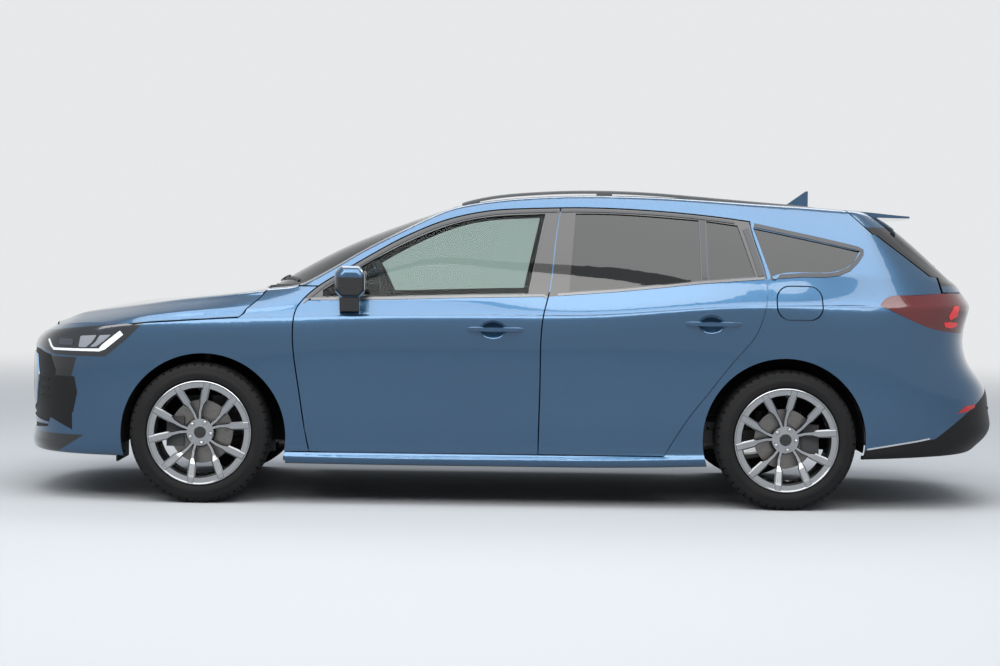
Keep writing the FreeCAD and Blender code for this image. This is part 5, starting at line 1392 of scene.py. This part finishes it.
BELT_FRONT = ((0.472, 0.950), (0.633, 0.953), (0.869, 0.958), (1.205, 0.971), (1.504, 0.979),
              (1.606, 0.982))
BELT_REAR = ((1.640, 0.985), (1.762, 0.995), (1.909, 1.007), (2.084, 1.025), (2.300, 1.050), (2.594, 1.074))
TOP_FRONT = ((0.500, 0.960), (0.556, 1.008), (0.603, 1.038), (0.668, 1.078), (0.784, 1.148), (0.867, 1.196),
             (0.942, 1.235), (1.032, 1.276), (1.098, 1.302), (1.196, 1.331), (1.268, 1.346), (1.341, 1.358),
             (1.408, 1.364), (1.461, 1.367), (1.556, 1.371), (1.642, 1.374))
TOP_REAR = ((1.658, 1.374), (1.726, 1.376), (1.852, 1.376), (1.999, 1.371), (2.084, 1.367), (2.173, 1.361),
            (2.255, 1.354), (2.331, 1.347), (2.403, 1.339), (2.470, 1.330))
DOOR_END = ((2.532, 1.300), (2.550, 1.240), (2.567, 1.180), (2.583, 1.120), (2.594, 1.082))
WINDOW_BAR = ((2.331, 1.334), (2.331, 1.240), (2.331, 1.150), (2.331, 1.062))
QUARTER_RING = ((2.562, 1.324), (2.650, 1.306), (2.737, 1.288), (2.810, 1.273), (2.894, 1.255),
                (2.975, 1.237), (3.040, 1.222), (3.068, 1.207), (3.066, 1.182), (3.040, 1.147),
                (2.998, 1.108), (2.942, 1.084), (2.882, 1.076), (2.772, 1.076), (2.670, 1.068),
                (2.625, 1.061))


def softened(node: str, voxel: float, passes: int) -> bmesh.types.BMesh:
    """A CAD node's shape remeshed evenly, its edges rounded.

    Args:
        node: The CAD node.
        voxel: The remesh's size in metres.
        passes: How often it is smoothed.

    Returns:
        A new bmesh.
    """
    source = bmesh.new()
    source.from_mesh(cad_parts[node].data)
    bmesh.ops.remove_doubles(source, verts=source.verts, dist=MERGE)
    mesh = bpy.data.meshes.new(node + "_base")
    source.to_mesh(mesh)
    source.free()
    base = bpy.data.objects.new(node + "_base", mesh)
    bpy.context.scene.collection.objects.link(base)
    remesh = base.modifiers.new("remesh", "REMESH")
    remesh.mode = "VOXEL"
    remesh.voxel_size = voxel
    soften = base.modifiers.new("soften", "SMOOTH")
    soften.iterations = passes
    soften.factor = 0.5
    ready = base.evaluated_get(bpy.context.evaluated_depsgraph_get())
    shape = bmesh.new()
    shape.from_mesh(ready.to_mesh())
    bpy.data.objects.remove(base)
    shape.normal_update()
    return shape


@dataclass
class SideTrims:
    """The trims round one side's glass, the mirror and the small fittings of that side."""

    side: Side
    mirror_voxel: float = 0.004
    mirror_passes: int = 14
    mirror_glass: tuple[float, float] = (0.80, 0.48)
    mirror_glass_rise: float = 0.70
    mirror_glass_round: float = 0.018
    sensor_radius: float = 0.010
    sensor_thick: float = 0.0012
    front_sensor: Point2 = (-0.352, 0.533)
    rear_sensor: Point2 = (3.291, 0.555)
    belt_wide: float = 0.011
    top_wide: float = 0.010
    end_wide: float = 0.028
    bar_wide: float = 0.025
    ring_wide: float = 0.019

    def build(self, builder: Builder) -> None:
        """Lays the trims of this side.

        Args:
            builder: Takes the finished pieces.
        """
        letter, word = self.side.letter, self.side.word
        view = SIDE_VIEW[self.side]
        front = Laid(view, ("door_f" + letter,), "door_front_" + word, BELT_TRIM, Slot.RAIL)
        rear = Laid(view, ("door_r" + letter,), "door_rear_" + word, BELT_TRIM, Slot.RAIL)
        shell = Laid(view, ("body_side_" + word,), "car_body", BELT_TRIM, Slot.RAIL)
        front.strip(builder, "belt_trim_front_" + letter, BELT_FRONT, self.belt_wide)
        rear.strip(builder, "belt_trim_rear_" + letter, BELT_REAR, self.belt_wide)
        dark_front = replace(front, finish=GRAPHITE_TRIM)
        dark_rear = replace(rear, finish=GRAPHITE_TRIM)
        dark_front.strip(builder, "window_top_trim_front_" + letter, TOP_FRONT, self.top_wide)
        dark_rear.strip(builder, "window_top_trim_rear_" + letter, TOP_REAR, self.top_wide)
        dark_rear.strip(builder, "window_end_trim_" + letter, DOOR_END, self.end_wide)
        dark_rear.strip(builder, "window_bar_trim_" + letter, WINDOW_BAR, self.bar_wide)
        dark_shell = replace(shell, finish=GRAPHITE_TRIM)
        dark_shell.strip(builder, "quarter_trim_" + letter, QUARTER_RING, self.ring_wide)
        self.mirror(builder)
        self.sensors(builder)

    def mirror(self, builder: Builder) -> None:
        """The mirror's rounded shell and its silvered glass.

        Args:
            builder: Takes the finished pieces.
        """
        letter = self.side.letter
        node, body = "mirror_" + letter, "door_front_" + self.side.word
        shell = builder.piece("mirror_shell_" + letter, softened(node, self.mirror_voxel, self.mirror_passes),
                              PAINT_MIRROR, body, SOFT_ANGLE)
        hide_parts(node)
        low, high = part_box(node)
        size = high - low
        outline = box_outline((low.y + high.y) / 2, low.z + size.z * self.mirror_glass_rise,
                              size.y * self.mirror_glass[0], size.z * self.mirror_glass[1])
        glass = Laid(TAIL_VIEW, (node,), body, MIRROR_SILVER, Slot.GLASS, thick=0.0016)
        glass.patch(builder, "mirror_glass_" + letter, outline, self.mirror_glass_round)

    def sensors(self, builder: Builder) -> None:
        """Parking sensors at the two ends of this side.

        Args:
            builder: Takes the finished pieces.
        """
        for end, place in (("front", self.front_sensor), ("rear", self.rear_sensor)):
            laid = Laid(SIDE_VIEW[self.side], (end + "_bumper",), "car_body", PAINT_ALL, Slot.PAINT,
                        thick=self.sensor_thick)
            laid.patch(builder, f"parking_sensor_{end}_{self.side.letter}",
                       disc_outline(*place, self.sensor_radius))


DAY_STRIP = ((-0.355, 0.769), (-0.398, 0.733), (-0.440, 0.699), (-0.468, 0.690), (-0.586, 0.690),
             (-0.698, 0.690), (-0.716, 0.706), (-0.733, 0.737))
DAY_STRIP_WIDE = (0.024, 0.026, 0.026, 0.013, 0.0115, 0.0115, 0.011, 0.010)
REFLECTOR_BOWL = ((-0.559, 0.760), (-0.480, 0.765), (-0.503, 0.731), (-0.530, 0.708), (-0.568, 0.708))
REFLECTOR_FIN = ((-0.466, 0.765), (-0.412, 0.768), (-0.444, 0.739), (-0.482, 0.712), (-0.512, 0.710),
                 (-0.484, 0.734))
FRONT_UNIT = (-0.632, 0.731, 0.075, 0.030)
TAIL_UPPER = ((3.491, 0.949), (3.520, 0.949), (3.510, 0.901), (3.468, 0.882), (3.460, 0.903))
TAIL_LOWER = ((3.434, 0.873), (3.468, 0.875), (3.512, 0.870), (3.512, 0.857), (3.479, 0.845), (3.442, 0.852))
REFLECTOR = ((3.501, 0.452), (3.543, 0.486), (3.596, 0.492), (3.596, 0.478), (3.559, 0.463))
# The rear bumper's lower crease, where a bright strip is laid as a painted highlight.
TAIL_CREASE_HIGHLIGHT = ((3.073, 0.290), (3.198, 0.311), (3.300, 0.328), (3.366, 0.341))


@dataclass
class Lamps:
    """What shows through the lamp covers of one side."""

    side: Side
    deep_lift: float = 0.0006
    reflector_round: float = 0.006
    unit_round: float = 0.010
    highlight_wide: float = 0.007

    def build(self, builder: Builder) -> None:
        """Lays the lit and bright parts on the lamps.

        Args:
            builder: Takes the finished pieces.
        """
        letter = self.side.letter
        view = SIDE_VIEW[self.side]
        head = Laid(view, ("headlamps",), "car_body", DAY_LIGHT, Slot.CLEAR_LAMP,
                    lift=0.0012, thick=0.0014, step=0.007)
        head.strip(builder, "day_light_" + letter, DAY_STRIP, DAY_STRIP_WIDE)
        bright = replace(head, finish=LAMP_CHROME, lift=self.deep_lift)
        bright.patches(builder, "lamp_reflectors_" + letter, (REFLECTOR_BOWL, REFLECTOR_FIN),
                       self.reflector_round)
        lens = replace(head, finish=SMOKED_LENS, lift=self.deep_lift)
        lens.patch(builder, "lamp_front_unit_" + letter, box_outline(*FRONT_UNIT), self.unit_round)
        tail = Laid(view, ("tail_lamps",), "car_body", RED_LIT, Slot.RED_LAMP,
                    lift=0.0008, thick=0.0014, step=0.008)
        tail.patches(builder, "tail_light_blocks_" + letter, (TAIL_UPPER, TAIL_LOWER))
        low = Laid(view, ("rear_bumper",), "car_body", RED_REFLECTOR, Slot.RED_LAMP,
                   lift=0.0004, thick=0.0020, step=0.02)
        low.patch(builder, "rear_reflector_" + letter, REFLECTOR)
        # Painted highlight: a bright strip laid along the rear bumper's lower crease, where it catches light.
        crease_highlight = Laid(view, ("rear_bumper",), "car_body", HIGHLIGHT_SATIN, Slot.RAIL,
                    lift=0.0004, thick=0.0016)
        crease_highlight.strip(builder, "rear_lower_trim_" + letter, TAIL_CREASE_HIGHLIGHT, self.highlight_wide)


GRILLE_RING = ((-0.330, 0.386), (-0.428, 0.520), (-0.400, 0.662), (0.0, 0.676), (0.400, 0.662),
               (0.428, 0.520), (0.330, 0.386), (0.0, 0.380), (-0.330, 0.386))
NOSE_PANEL = ((0.452, 0.520), (0.424, 0.668), (0.560, 0.668), (0.615, 0.560), (0.560, 0.430), (0.360, 0.384))
NOSE_LIP = ((-0.700, 0.352), (-0.420, 0.372), (0.0, 0.375), (0.420, 0.372), (0.700, 0.352))
NOSE_LIP_WIDE = (0.012, 0.034, 0.034, 0.034, 0.012)


@dataclass
class Nose:
    """The grille's bars and the panels and intakes of the nose."""

    bars: int = 7
    uprights: int = 9
    half_wide: float = 0.395
    widest: float = 0.54
    narrowing: float = 0.35
    low: float = 0.415
    high: float = 0.640
    bar_high: float = 0.007
    upright_wide: float = 0.006
    frame_wide: float = 0.012
    panel_round: float = 0.012
    slat_y: float = 0.675
    slat_heights: tuple[float, float, float] = (0.470, 0.510, 0.550)
    slat_size: tuple[float, float] = (0.090, 0.008)
    flap_size: tuple[float, float, float] = (0.010, 0.300, 0.210)
    flap_edge: float = 0.002
    flap_behind: float = -0.388
    flap_y: float = 0.650
    flap_z: float = 0.285

    def laid(self, finish: object, slot: Slot, thick: float) -> Laid:
        """Pieces of one finish that lie on the grille."""
        return Laid(NOSE_VIEW, ("front_grille",), "car_body", finish, slot, lift=0.0, thick=thick)

    def grille(self, builder: Builder) -> None:
        """Horizontal bars and short uprights between them.

        Args:
            builder: Takes the finished pieces.
        """
        flats = []
        pitch = (self.high - self.low) / (self.bars - 1)
        for index in range(self.bars):
            z = self.low + pitch * index
            wide = (self.half_wide - abs(z - self.widest) * self.narrowing) * 2
            flats.append(box_outline(0.0, z, wide, self.bar_high))
            if index + 1 < self.bars:
                for k in range(self.uprights):
                    y = (k - (self.uprights - 1) / 2 + (index % 2) * 0.5) * wide / self.uprights
                    flats.append(box_outline(y, z + pitch / 2, self.upright_wide, pitch - self.bar_high))
        self.laid(GLOSS_BLACK, Slot.GLOSS_BLACK, 0.0060).patches(builder, "grille_bars", flats)

    def surround(self, builder: Builder) -> None:
        """A dark bright-edged frame round the grille."""
        laid = self.laid(GRAPHITE_TRIM, Slot.RAIL, 0.0062)
        laid.strip(builder, "grille_frame", GRILLE_RING, self.frame_wide)

    def cheeks(self, builder: Builder) -> None:
        """Painted panels between the grille and the corner intakes, and the lip under the intakes.

        Args:
            builder: Takes the finished pieces.
        """
        laid = self.laid(PAINT_ALL, Slot.PAINT, 0.0055)
        panels = [mirrored(NOSE_PANEL, side.value) for side in Side]
        laid.patches(builder, "nose_panels", panels, self.panel_round)
        laid.strip(builder, "nose_lip", NOSE_LIP, NOSE_LIP_WIDE)

    def fins(self, builder: Builder) -> None:
        """Three slats in each corner intake.

        Args:
            builder: Takes the finished pieces.
        """
        flats = [mirrored(box_outline(self.slat_y, z, *self.slat_size), side.value)
                 for side in Side for z in self.slat_heights]
        self.laid(MATT_BLACK, Slot.PLASTIC, 0.0055).patches(builder, "intake_slats", flats)

    def deflectors(self, builder: Builder) -> None:
        """A dark flap ahead of each front wheel.

        Args:
            builder: Takes the finished pieces.
        """
        flaps = []
        for side in Side:
            flap = bmesh.new()
            bmesh.ops.create_cube(flap, size=1.0)
            bmesh.ops.scale(flap, verts=flap.verts, vec=self.flap_size)
            bmesh.ops.bevel(flap, geom=flap.edges[:], offset=self.flap_edge, segments=2, affect="EDGES",
                            profile=0.5)
            x, z = car(self.flap_behind, self.flap_z)
            bmesh.ops.translate(flap, verts=flap.verts, vec=(x, side.value * self.flap_y, z))
            flaps.append(flap)
        builder.piece("wheel_deflectors", joined(flaps), MATT_BLACK, "car_body")

    def build(self, builder: Builder) -> None:
        """Makes the nose's pieces.

        Args:
            builder: Takes the finished pieces.
        """
        self.grille(builder)
        self.deflectors(builder)
        self.surround(builder)
        self.cheeks(builder)
        self.fins(builder)


HANDLE_STRIP = ((-0.330, 0.884), (0.0, 0.890), (0.330, 0.884))
BUMPER_STEP = ((-0.560, 0.470), (-0.300, 0.455), (0.300, 0.455), (0.560, 0.470))
REAR_ARM = ((0.012, 1.072), (-0.120, 1.108), (-0.250, 1.122))
REAR_ARM_WIDE = (0.020, 0.013, 0.009)
REAR_BLADE = ((-0.080, 1.094), (-0.240, 1.122), (-0.400, 1.128))


@dataclass
class Tail:
    """The fittings of the tailgate and the rear bumper."""

    handle_wide: float = 0.030
    step_wide: float = 0.012
    blade_wide: float = 0.009
    sensor_radius: float = 0.010
    sensor_z: float = 0.545
    sensor_places: tuple[float, ...] = (-0.42, -0.15, 0.15, 0.42)

    def build(self, builder: Builder) -> None:
        """Makes the tail's pieces.

        Args:
            builder: Takes the finished pieces.
        """
        handle = Laid(TAIL_VIEW, ("tailgate",), "tailgate_lid", GLOSS_BLACK, Slot.GLOSS_BLACK,
                      lift=0.0, thick=0.0040)
        handle.strip(builder, "tailgate_handle_strip", HANDLE_STRIP, self.handle_wide)
        step = Laid(TAIL_VIEW, ("rear_bumper",), "car_body", MATT_BLACK, Slot.PLASTIC,
                    lift=0.0, thick=0.0030)
        step.strip(builder, "rear_bumper_step", BUMPER_STEP, self.step_wide)
        sensor = replace(step, finish=GLOSS_BLACK, slot=Slot.GLOSS_BLACK, thick=0.0012)
        discs = [disc_outline(y, self.sensor_z, self.sensor_radius) for y in self.sensor_places]
        sensor.patches(builder, "parking_sensors_tail", discs)
        self.wiper(builder)

    def wiper(self, builder: Builder) -> None:
        """The rear wiper's arm and blade across the glass.

        Args:
            builder: Takes the finished pieces.
        """
        glass, lid = ("tailgate_glass",), "tailgate_lid"
        arm = Laid(TAIL_VIEW, glass, lid, MATT_BLACK, Slot.PLASTIC,
                   lift=0.0030, thick=0.0060, step=0.05)
        arm.strip(builder, "rear_wiper_arm", REAR_ARM, REAR_ARM_WIDE)
        blade = Laid(TAIL_VIEW, glass, lid, SEAL_RUBBER, Slot.RUBBER,
                     lift=0.0006, thick=0.0045, step=0.05)
        blade.strip(builder, "rear_wiper_blade", REAR_BLADE, self.blade_wide)


WIPER_BLADES = (((0.315, -0.070), (0.350, -0.300), (0.432, -0.610)),
                ((0.330, 0.560), (0.318, 0.320), (0.312, 0.060)))
WIPER_ARMS = (((0.300, 0.020), (0.325, -0.150), (0.362, -0.330)),
              ((0.395, 0.620), (0.345, 0.470), (0.318, 0.310)))


@dataclass
class FrontWipers:
    """Two blades parked at the foot of the windscreen."""

    blade_wide: float = 0.012
    arm_wide: tuple[float, float, float] = (0.022, 0.014, 0.010)

    def build(self, builder: Builder) -> None:
        """Lays the arms and blades on the glass.

        Args:
            builder: Takes the finished pieces.
        """
        blade = Laid(TOP_VIEW, ("windscreen",), "car_body", SEAL_RUBBER, Slot.RUBBER,
                     lift=0.0008, thick=0.0060, step=0.05)
        arm = Laid(TOP_VIEW, ("windscreen",), "car_body", MATT_BLACK, Slot.PLASTIC,
                   lift=0.0060, thick=0.0070, step=0.05)
        for index, (blade_path, arm_path) in enumerate(zip(WIPER_BLADES, WIPER_ARMS)):
            blade.strip(builder, f"wiper_blade_{index}", blade_path, self.blade_wide)
            arm.strip(builder, f"wiper_arm_{index}", arm_path, self.arm_wide)


@dataclass
class Cabin:
    """The upholstery and the fittings of the dashboard."""

    voxel: float = 0.011
    passes: int = 6
    front_seat_y: float = 0.365
    front_seam: float = 0.135
    rear_seams: tuple[float, ...] = (-0.42, -0.16, 0.16, 0.42)
    seam_deep: float = 0.0045
    seam_half: float = 0.008
    cross_seam: float = 0.6
    cross_way: Vector = field(default_factory=lambda: Vector((3.0, 0.0, 7.0)))
    puff: float = 0.0015
    puff_way: Vector = field(default_factory=lambda: Vector((23.0, 0.0, 17.0)))
    puff_across: float = 19.0
    screen: tuple[float, ...] = (0.0, 0.930, 0.240, 0.090)
    screen_round: float = 0.008
    instruments: tuple[float, ...] = (-0.370, 0.955, 0.260, 0.060)
    instruments_round: float = 0.010
    vent_places: tuple[float, ...] = (-0.68, -0.18, 0.18, 0.68)
    vent_heights: tuple[float, ...] = (0.872, 0.882, 0.892)
    vent_size: tuple[float, float] = (0.100, 0.004)

    def seams(self, node: str) -> Sequence[float]:
        """The Y places of a seat's lengthwise seams.

        Args:
            node: The CAD node.

        Returns:
            Their places in metres.
        """
        if node == "front_seats":
            return [side.value * self.front_seat_y + sign * self.front_seam
                    for side in Side for sign in (-1, 1)]
        return self.rear_seams

    def upholster(self, builder: Builder, node: str) -> None:
        """Makes a seat's cloth cover with seams and soft panels.

        Args:
            node: The seat's CAD node, which the cover replaces.
        """
        shape = softened(node, self.voxel, self.passes)
        lines = self.seams(node)
        for vert in shape.verts:
            near = min(abs(vert.co.y - line) for line in lines)
            across = abs(vert.co.dot(self.cross_way) % 1.0 - 0.5) / self.cross_way.z
            groove = (math.exp(-(near / self.seam_half) ** 2)
                      + self.cross_seam * math.exp(-(across / self.seam_half) ** 2))
            wave = math.sin(vert.co.dot(self.puff_way)) * math.sin(vert.co.y * self.puff_across)
            vert.co += vert.normal * (self.puff * wave - self.seam_deep * groove)
        cover = builder.piece("upholstery_" + node, shape, SEAT_CLOTH, "car_body", SOFT_ANGLE)
        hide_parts(node)

    def dash(self, builder: Builder) -> None:
        """The screen, the vents and the instrument glass.

        Args:
            builder: Takes the finished pieces.
        """
        glass = Laid(TAIL_VIEW, ("dashboard",), "car_body", GLOSS_BLACK, Slot.GLOSS_BLACK,
                     lift=0.0, thick=0.0060, step=0.05)
        glass.patch(builder, "dash_screen", box_outline(*self.screen), self.screen_round)
        glass.patch(builder, "instrument_glass", box_outline(*self.instruments), self.instruments_round)
        vents = replace(glass, finish=MATT_BLACK, slot=Slot.PLASTIC)
        flats = [box_outline(y, z, *self.vent_size) for y in self.vent_places for z in self.vent_heights]
        vents.patches(builder, "dash_vents", flats)

    def build(self, builder: Builder) -> None:
        """Makes the cabin's pieces.

        Args:
            builder: Takes the finished pieces.
        """
        self.upholster(builder, "front_seats")
        self.upholster(builder, "rear_seat")
        self.dash(builder)


@dataclass(frozen=True)
class Softbox:
    """A soft rectangular lamp: where it hangs, what it points at, its size and its power in watts."""

    name: str
    at: tuple[float, float, float]
    aim: tuple[float, float, float]
    size: tuple[float, float]
    power: float
    tone: Colour = (1.0, 1.0, 1.0)

    def hang(self) -> None:
        """Puts the lamp in the scene."""
        data = bpy.data.lights.new(self.name, "AREA")
        data.shape = "RECTANGLE"
        data.size, data.size_y = self.size
        data.energy = self.power
        data.color = self.tone
        lamp = bpy.data.objects.new(self.name, data)
        lamp.location = self.at
        lamp.rotation_euler = (Vector(self.aim) - Vector(self.at)).to_track_quat("-Z", "Y").to_euler()
        bpy.context.scene.collection.objects.link(lamp)


SOFTBOXES = (
    Softbox("top_softbox", (0.0, -2.5, 6.5), (0.0, 0.0, 0.6), (9.0, 5.0), 520.0),
    Softbox("side_strip", (-1.5, -8.5, 6.5), (0.2, 0.0, 0.8), (14.0, 3.6), 860.0, (1.0, 0.99, 0.97)),
    Softbox("far_fill", (1.0, 5.5, 7.0), (0.0, 0.0, 0.7), (9.0, 3.0), 260.0),
)


@dataclass
class Studio:
    """The floor, the soft light and the camera at the photograph's viewing angle."""

    floor_size: float = 60.0
    camera_at: tuple[float, float, float] = (-0.076, -10.885, 1.170)
    focal_length: float = 78.4
    film_wide: float = 36.0
    pitch: float = 90.0
    roll: float = -0.78
    shift_x: float = 0.003
    shift_y: float = -0.0805
    sky_tone: Colour = (0.62, 0.70, 0.80)
    low_sky: float = 0.26
    high_sky: float = 0.85
    high_sky_from: float = 0.7

    def floor(self, builder: Builder) -> None:
        """A pale plane under the wheels.

        Args:
            builder: Takes the finished pieces.
        """
        shape = bmesh.new()
        bmesh.ops.create_grid(shape, x_segments=1, y_segments=1, size=self.floor_size)
        mesh = bpy.data.meshes.new("studio_floor")
        shape.to_mesh(mesh)
        shape.free()
        floor = bpy.data.objects.new("studio_floor", mesh)
        bpy.context.scene.collection.objects.link(floor)
        floor.data.materials.append(builder.palette.get(StudioFloor()))

    def sky(self) -> None:
        """A surround that lights the car, brighter overhead, with the pale backdrop in front of it."""
        world = bpy.data.worlds.new("studio_surround")
        shader = Shader(world)
        _, _, up = shader.split(shader.add("ShaderNodeTexCoord", output="Generated"))
        strength = shader.add("ShaderNodeMapRange", sockets={
            "Value": up, "From Min": 0.0, "From Max": self.high_sky_from, "To Min": self.low_sky,
            "To Max": self.high_sky}, output="Result")
        ambient, backdrop = (
            shader.add("ShaderNodeBackground", sockets={"Color": (*colour, COLOUR_ALPHA), "Strength": level})
            for colour, level in ((self.sky_tone, strength), (BACKDROP, 1.0)))
        shader.finish(shader.between(shader.shown(), ambient, backdrop), "ShaderNodeOutputWorld")
        bpy.context.scene.world = world

    def camera(self) -> None:
        """The camera beside the car, a little above its belt line."""
        data = bpy.data.cameras.new("camera")
        data.lens = self.focal_length
        data.sensor_width = self.film_wide
        data.shift_x = self.shift_x
        data.shift_y = self.shift_y
        camera = bpy.data.objects.new("camera", data)
        camera.location = self.camera_at
        camera.rotation_euler = (math.radians(self.pitch), math.radians(self.roll), 0.0)
        bpy.context.scene.collection.objects.link(camera)
        bpy.context.scene.camera = camera

    def build(self, builder: Builder) -> None:
        """Sets the whole studio up.

        Args:
            builder: Takes the finished pieces.
        """
        self.floor(builder)
        self.sky()
        self.camera()
        for softbox in SOFTBOXES:
            softbox.hang()
        bpy.context.scene.view_settings.view_transform = "Standard"


def paint_nodes(builder: Builder) -> None:
    """Dresses every CAD node that stays in view.

    Args:
        builder: Takes the finished pieces.
    """
    finishes = {
        "fuel_flap": PAINT_ALL, "front_fenders": PAINT_ALL, "roof_panel": PAINT_DOWN, "bonnet": PAINT_DOWN,
        "tailgate": PAINT_TAILGATE, "front_bumper": PAINT_FRONT, "rear_bumper": PAINT_REAR,
        "front_grille": MATT_BLACK, "windscreen": CLEAR_GLASS, "quarter_windows": DARK_GLASS,
        "tailgate_glass": DARK_GLASS, "headlamps": LAMP_COVER, "tail_lamps": RED_LENS,
        "roof_rails": RAIL_METAL,
        "floor_pan": LINER_FELT, "cowl_panel": MATT_BLACK, "dashboard": SOFT_BLACK, "front_seats": SEAT_CLOTH,
        "rear_seat": SEAT_CLOTH, "steering_wheel": SOFT_BLACK, "engine_block": ENGINE_CAST,
        "front_subframe": CHASSIS_IRON, "rear_axle": CHASSIS_IRON, "exhaust": EXHAUST_STEEL,
    }
    for side in Side:
        finishes["body_side_" + side.word] = PAINT_SIDE[side]
        finishes["mirror_" + side.letter] = PAINT_MIRROR
        finishes["knuckle_f" + side.letter] = CHASSIS_IRON
        finishes["tyre_f" + side.letter] = finishes["tyre_r" + side.letter] = SEAL_RUBBER
        for end in "fr":
            finishes["door_" + end + side.letter] = PAINT_DOOR[side]
        finishes["glass_f" + side.letter] = CLEAR_GLASS
        finishes["glass_r" + side.letter] = DARK_GLASS
    for node, finish in finishes.items():
        builder.paint(node, finish)


def main() -> None:
    """Builds the sub-assemblies in order."""
    logging.basicConfig(level=logging.INFO, format="%(name)s: %(message)s")
    builder = Builder(Palette())
    Studio().build(builder)
    paint_nodes(builder)
    for side in Side:
        Wheel("f", side, bolt_angle=63.0, disc_radius=0.1465).build(builder)
        Wheel("r", side, bolt_angle=67.0, disc_radius=0.1385).build(builder)
        SideTrims(side).build(builder)
        Lamps(side).build(builder)
    Nose().build(builder)
    Tail().build(builder)
    FrontWipers().build(builder)
    Cabin().build(builder)
    log.info("%d pieces added", builder.count)


if __name__ == "__main__":
    main()
